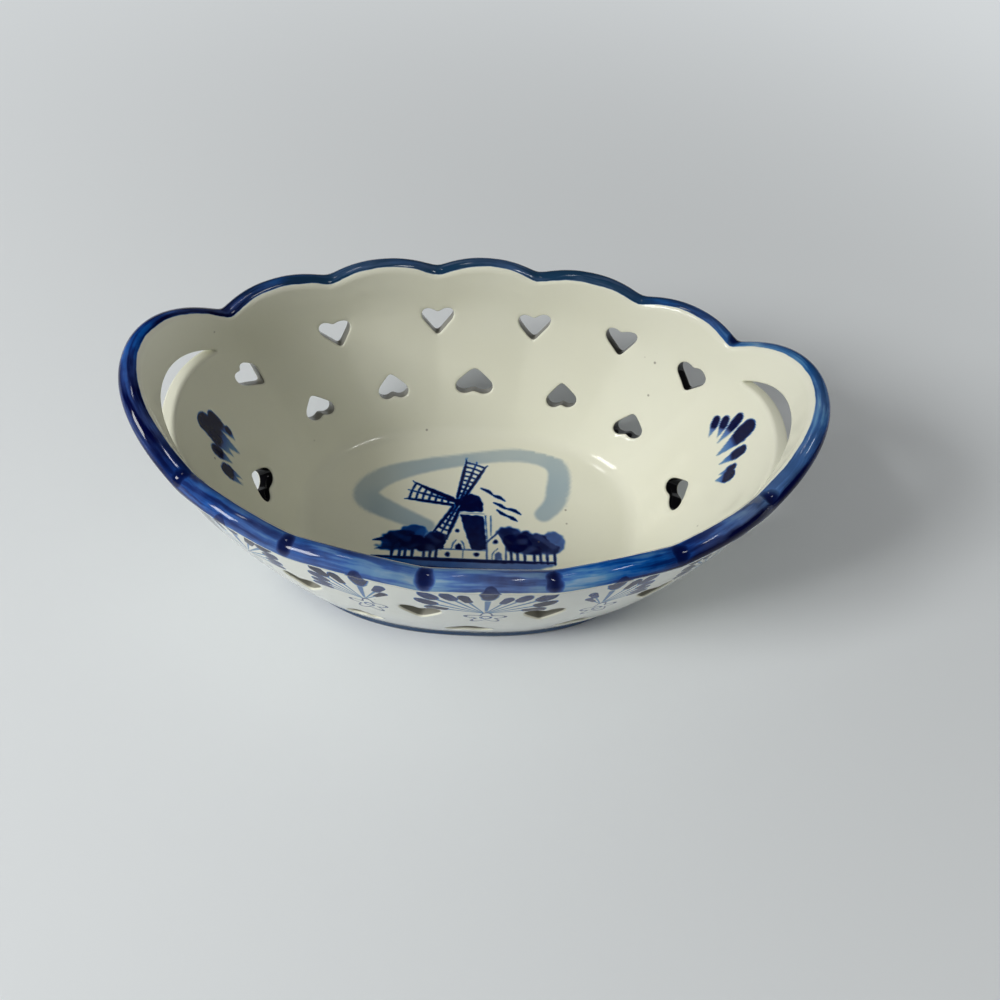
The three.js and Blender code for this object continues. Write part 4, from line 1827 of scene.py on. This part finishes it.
    def _foot(self, nodes: PaintNodes) -> Sock:
        """Paint the band round the foot and the thin broken line above it.

        Args:
            nodes: The glaze's tree.

        Returns:
            Their ink.
        """
        height = nodes.axes()[2] * (1.0 / MM)
        level = height + nodes.shake(90.0, 3.0) * 0.6
        wash = 0.84 + nodes.shake(150.0, 3.0) * 0.4
        band = level.ease(self.foot_band + 0.15, self.foot_band - 0.15) * height.ease(0.0, 0.2) * wash
        broken = nodes.noise(110.0, 2.0).ease(0.34, 0.46)
        line = abs(level - self.foot_line).ease(0.34, 0.12) * broken * 0.85
        return band.most(line) * nodes.mark("band").ease(8.0, 12.0)

    def _spray(self, nodes: PaintNodes) -> Sock:
        """Paint the flower spray under each lobe outside.

        Args:
            nodes: The glaze's tree.

        Returns:
            Its ink.
        """
        number = nodes.mark("lobe_no")
        x = nodes.mark("lobe_x") + (number * 2.4).math("SINE") * 0.4
        y = nodes.mark("spray_y") + (number * 3.1).math("SINE") * 0.6
        shake = nodes.shake(330.0, 2.0)
        dabs = self._drops(nodes, x, y, shake)
        middle = (((x - 0.3) / 1.75) ** 2.0 + ((y - 12.0) / 4.4) ** 2.0).math("SQRT") + shake * 0.5
        stalk = (abs(x - 0.2) - 0.12 - 0.05 * y).ease(0.2, -0.1) * y.ease(-0.5, 2.5) * y.ease(8.0, 7.0)
        bud = (middle.ease(1.12, 0.85) * (0.88 + 0.4 * shake)).most(stalk * 0.5)
        px, py = x - 0.4, y + 3.2
        around = (px * px + py * py).math("SQRT") + shake * 0.5
        petals = 2.8 + 0.9 * (px.math("ARCTAN2", py) * 5.0).math("COSINE")
        flower = abs(around - petals).ease(0.42, 0.16) * 0.8
        eye = abs(around - 0.9).ease(0.36, 0.12) * 0.7
        outside = nodes.mark("outside").ease(0.5, 0.9)
        on_rim = nodes.mark("rim_on").ease(0.5, 0.9) * nodes.mark("band").ease(0.8, 1.2)
        shown = (dabs.most(flower).most(eye) * outside).most(bud * outside.most(on_rim))
        return shown * nodes.mark("spray_gap").ease(1.2, 1.5)

    def _drops(self, nodes: PaintNodes, x: Sock, y: Sock, shake: Sock) -> Sock:
        """Paint the drops of a spray and their tails.

        Args:
            nodes: The glaze's tree.
            x: Place across the spray.
            y: Height above its root.
            shake: Unevenness of the hand.

        Returns:
            Their ink.
        """
        far = (x * x + y * y).math("SQRT")
        angle = x.math("ARCTAN2", y)
        gap = math.radians(self.ray_gap)
        ray = (angle / gap).math("ROUND")
        side = far * (angle - ray * gap).math("SINE")
        order = abs(ray)
        jitter = (ray * 5.3 + nodes.mark("lobe_no") * 1.7).math("SINE")
        outer = self.first_reach + self.reach_step * (order - self.first_ray)
        at_last = order.ease(self.last_ray - 0.6, self.last_ray - 0.4)
        reach = outer.toward(self.last_reach, at_last) + jitter * 0.5
        room = nodes.mark("spray_room") - self.spray_margin
        reach = reach.least(room / (order * gap).math("SINE").most(0.1))
        size = 0.72 + reach * 0.05 + 0.12 * jitter
        head = (((far - reach) / (1.0 + size)) ** 2.0 + (side / size) ** 2.0).math("SQRT") + shake * 0.4
        shown = (
            order.ease(self.first_ray - 0.6, self.first_ray - 0.4)
            * order.ease(self.last_ray + 0.6, self.last_ray + 0.4) * reach.ease(4.8, 5.0))
        tail = (abs(side) - 0.06 - 0.02 * far).ease(0.14, -0.06) * (far - reach).ease(0.5, -0.5)
        return (head.ease(1.12, 0.86) * (0.9 + 0.1 * jitter + 0.4 * shake)).most(tail * 0.42) * shown

    def _colour(self, nodes: PaintNodes, ink: Sock) -> Sock:
        """Colour the glaze over the ink.

        Args:
            nodes: The glaze's tree.
            ink: Amount of ink.

        Returns:
            The colour.
        """
        grain = nodes.shake(600.0, 3.0) * 0.16 * ink.ease(0.2, 0.6)
        stops = ((0.0, self.cream), *self.cobalt)
        colour = nodes.make("ShaderNodeValToRGB", {"stops": stops}, {0: ink + grain})
        cloud = nodes.noise(35.0, 3.0).ease(0.35, 0.75) * 0.35 * (1.0 - ink.least(1.0))
        # Outside, the glaze is mixed toward a bluer white: the cool shade of the outer wall, painted in.
        outer_shade_cast = nodes.mark("outside").ease(0.4, 1.0) * (1.0 - ink.ease(0.0, 0.15)) * 0.75
        cells = {"Vector": nodes.place(), "Scale": 170.0}
        dots = nodes.make("ShaderNodeTexVoronoi", {"feature": "F1"}, cells, "Distance")
        chosen = nodes.noise(90.0, 0.0).ease(0.6, 0.66)
        bore = nodes.mark("bore")
        for share, over in (
            (self._greyed(nodes, ink) * ink.ease(0.35, 0.6) * 0.6, self.slate),
            (outer_shade_cast, self.shaded_outer_white),
            (cloud, self.warm),
            (dots.ease(0.075, 0.03) * chosen * 0.6, self.speck),
            # Painted shade on the sides of the openings: grey, and near black where the shade is deepest.
            (bore.ease(0.1, 0.5) * 0.85, self.opening_painted_shade),
            (bore.ease(0.5, 1.0), self.opening_painted_deep_shade),
            (nodes.mark("clay").ease(0.5, 0.9), self.bare_clay),
        ):
            colour = mix_colour(nodes, share, colour, over)
        return colour

    @staticmethod
    def _greyed(nodes: PaintNodes, ink: Sock) -> Sock:
        """Find where the blue is greyer: the rim at the back and on the right ear, and the foot.

        Args:
            nodes: The glaze's tree.
            ink: Amount of ink.

        Returns:
            1 where it is greyer.
        """
        x, y, z = nodes.axes()
        band = nodes.mark("band")
        ear = x.ease(0.045, 0.062) * band.ease(2.0, 0.0) * ink.ease(0.95, 0.8)
        rim = y.ease(0.02, 0.04).most(ear * 0.75) * nodes.mark("rim_on")
        return rim.most(z.ease(0.0052, 0.0046) * band.ease(8.0, 12.0))

    @staticmethod
    def _bump(nodes: PaintNodes) -> Sock:
        """Slight unevenness of the glaze."""
        height = nodes.noise(95.0, 2.0) + nodes.noise(700.0, 1.0) * 0.05
        return nodes.make("ShaderNodeBump", None, {"Strength": 0.16, "Distance": 0.0006, "Height": height})


@dataclass(frozen=True)
class TableFinish:
    """Pale matt table that fades into the surroundings far away."""

    name: str = "pale_table"
    colour: Colour = srgb(230, 234, 235)
    far_colour: Colour = srgb(212, 216, 218)
    fade_start: float = 0.06
    fade_end: float = 0.42
    roughness: float = 0.6
    refraction: float = 1.3

    def material(self) -> bpy.types.Material:
        """Make the table's finish.

        Returns:
            The material.
        """
        made, nodes = blank_material(self.name)
        shader = nodes.make("ShaderNodeBsdfPrincipled", None, {
            "Base Color": self.colour, "Roughness": self.roughness, "IOR": self.refraction})
        far = nodes.make("ShaderNodeVectorMath", {"operation": "LENGTH"}, {0: nodes.place()}, "Value")
        seen = nodes.make("ShaderNodeLightPath", None, None, "Is Camera Ray")
        pale = nodes.make("ShaderNodeEmission", None, {"Color": self.far_colour, "Strength": 1.0})
        share = far.ease(self.fade_start, self.fade_end) * seen
        faded = nodes.make("ShaderNodeMixShader", None, {0: share, 1: shader, 2: pale})
        nodes.node("ShaderNodeOutputMaterial", None, {"Surface": faded})
        return made


@dataclass(frozen=True)
class Lamp:
    """A soft area lamp that shines on the dish.

    Attributes:
        name: Its name.
        place: Where it hangs, in metres.
        width: Its width.
        height: Its height.
        power: Its power in watts.
        lights: Whether it lights what is matt.
        shines: Whether it shows in what is glossy.
    """

    name: str
    place: tuple[float, float, float]
    width: float
    height: float
    power: float
    lights: bool = True
    shines: bool = True

    AIM = (0.0, 0.0, 0.025)

    def build(self) -> bpy.types.Object:
        """Hang the lamp, turned toward the dish.

        Returns:
            The lamp.
        """
        data = bpy.data.lights.new(self.name, "AREA")
        data.shape = "RECTANGLE"
        data.size, data.size_y = self.width, self.height
        data.energy = self.power
        obj = put_in_scene(self.name, data)
        obj.visible_diffuse = self.lights
        obj.visible_glossy = self.shines
        obj.location = self.place
        toward = Vector(self.AIM) - Vector(self.place)
        obj.rotation_euler = toward.to_track_quat("-Z", "Y").to_euler()
        return obj


@dataclass(frozen=True)
class Ceiling:
    """Broad even light from above and a little in front, which doesn't show in the glaze."""

    strength: float = 0.42
    spread: float = 70.0
    climb: float = 68.0

    def build(self) -> bpy.types.Object:
        """Hang the light.

        Returns:
            The light.
        """
        data = bpy.data.lights.new("ceiling", "SUN")
        data.energy = self.strength
        data.angle = math.radians(self.spread)
        obj = put_in_scene("ceiling", data)
        obj.rotation_euler = (math.radians(90.0 - self.climb), 0.0, 0.0)
        obj.visible_glossy = False
        return obj


@dataclass(frozen=True)
class Studio:
    """Table, lamps, surroundings and the camera at the photograph's angle.

    Attributes:
        table_half: Half the length of the table.
        focus: Point that the camera looks at.
        away: Distance of the camera from it.
        climb: Degrees of the camera above the table.
        yaw: Degrees of the camera round the dish, to the right.
        roll: Degrees by which the camera is tilted.
        lens: Its focal length in millimetres.
        clip_start: Nearest distance that it sees.
        lamps: The area lamps.
        ceiling: The light from above.
        surround: Light of the surroundings.
        mirrored: Light of the surroundings in the shine.
        seen_surround: Colour of the surroundings behind the table.
    """

    table_half: float = 12.0
    focus: tuple[float, float, float] = (0.00615, -0.0066, 0.020)
    away: float = 0.2241
    climb: float = 51.9
    yaw: float = -5.27
    roll: float = 6.81
    lens: float = 35.39
    clip_start: float = 0.01
    lamps: tuple[Lamp, ...] = (
        Lamp("window", (-0.63, -0.30, 0.51), 0.26, 0.26, 5.4),
        Lamp("low_right", (0.60, 0.06, 0.045), 0.50, 0.08, 0.85, shines=False),
        Lamp("high_right", (0.29, -0.14, 0.80), 0.18, 0.07, 1.0, lights=False),
        Lamp("high_left", (-0.19, 0.17, 0.82), 0.16, 0.06, 0.45, lights=False),
    )
    ceiling: Ceiling = Ceiling()
    surround: float = 0.12
    mirrored: float = 0.05
    seen_surround: Colour = TableFinish.far_colour

    def build(self) -> None:
        """Set up the table, lamps, surroundings and camera."""
        self._table()
        self.ceiling.build()
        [lamp.build() for lamp in self.lamps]
        self._world()
        self._camera()

    def _table(self) -> bpy.types.Object:
        """Lay the table.

        Returns:
            The table.
        """
        half = self.table_half
        corners = [(-half, -half, 0), (half, -half, 0), (half, half, 0), (-half, half, 0)]
        mesh = bpy.data.meshes.new("table")
        mesh.from_pydata(corners, [], [(0, 1, 2, 3)])
        mesh.materials.append(TableFinish().material())
        return put_in_scene("table", mesh)

    def _world(self) -> None:
        """Fill the surroundings with an even pale light."""
        world = bpy.data.worlds.new("surround")
        world.use_nodes = True
        nodes = Nodes(world.node_tree)
        light, seen, dim = (
            nodes.make("ShaderNodeBackground", None, {"Color": colour, "Strength": strength})
            for colour, strength in (
                (WHITE, self.surround), (self.seen_surround, 1.0), (WHITE, self.mirrored)))
        path = nodes.node("ShaderNodeLightPath")
        glossy, camera = (Sock(nodes, path.outputs[f"Is {ray} Ray"]) for ray in ("Glossy", "Camera"))
        unseen = nodes.make("ShaderNodeMixShader", None, {0: glossy, 1: light, 2: dim})
        both = nodes.make("ShaderNodeMixShader", None, {0: camera, 1: unseen, 2: seen})
        nodes.node("ShaderNodeOutputWorld", None, {"Surface": both})
        bpy.context.scene.world = world

    def _camera(self) -> None:
        """Set the camera where the photograph was taken from."""
        climb, yaw, roll = (math.radians(a) for a in (self.climb, self.yaw, self.roll))
        back = Vector((math.sin(yaw) * math.cos(climb), -math.cos(yaw) * math.cos(climb), math.sin(climb)))
        right = Vector((math.cos(yaw), math.sin(yaw), 0.0))
        up = back.cross(right)
        side = math.cos(roll) * right + math.sin(roll) * up
        top = -math.sin(roll) * right + math.cos(roll) * up
        data = bpy.data.cameras.new("camera")
        data.lens = self.lens
        data.clip_start = self.clip_start
        camera = put_in_scene("camera", data)
        turn = Matrix((side, top, back)).transposed()
        camera.matrix_world = Matrix.Translation(Vector(self.focus) + back * self.away) @ turn.to_4x4()
        bpy.context.scene.camera = camera


CAD_NODES = (
    ("foot_ring", "floor", "right_end_wall", "back_wall", "left_end_wall", "front_wall")
    + tuple(f"{side}_rim_lobe_{number}" for side in ("back", "front") for number in range(1, 6))
    + ("right_handle", "left_handle")
)


def build_scene() -> None:
    """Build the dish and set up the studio."""
    logging.basicConfig(level=logging.INFO, format="%(message)s")
    dish = Dish(BasketSizes()).build(GlazeFinish().material())
    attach(dish, "root")
    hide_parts(*CAD_NODES)
    LOG.info("%s: %d points, %d faces", dish.name, len(dish.data.vertices), len(dish.data.polygons))
    Studio().build()
    bpy.context.scene.view_settings.view_transform = "Standard"


if __name__ == "__main__":
    build_scene()
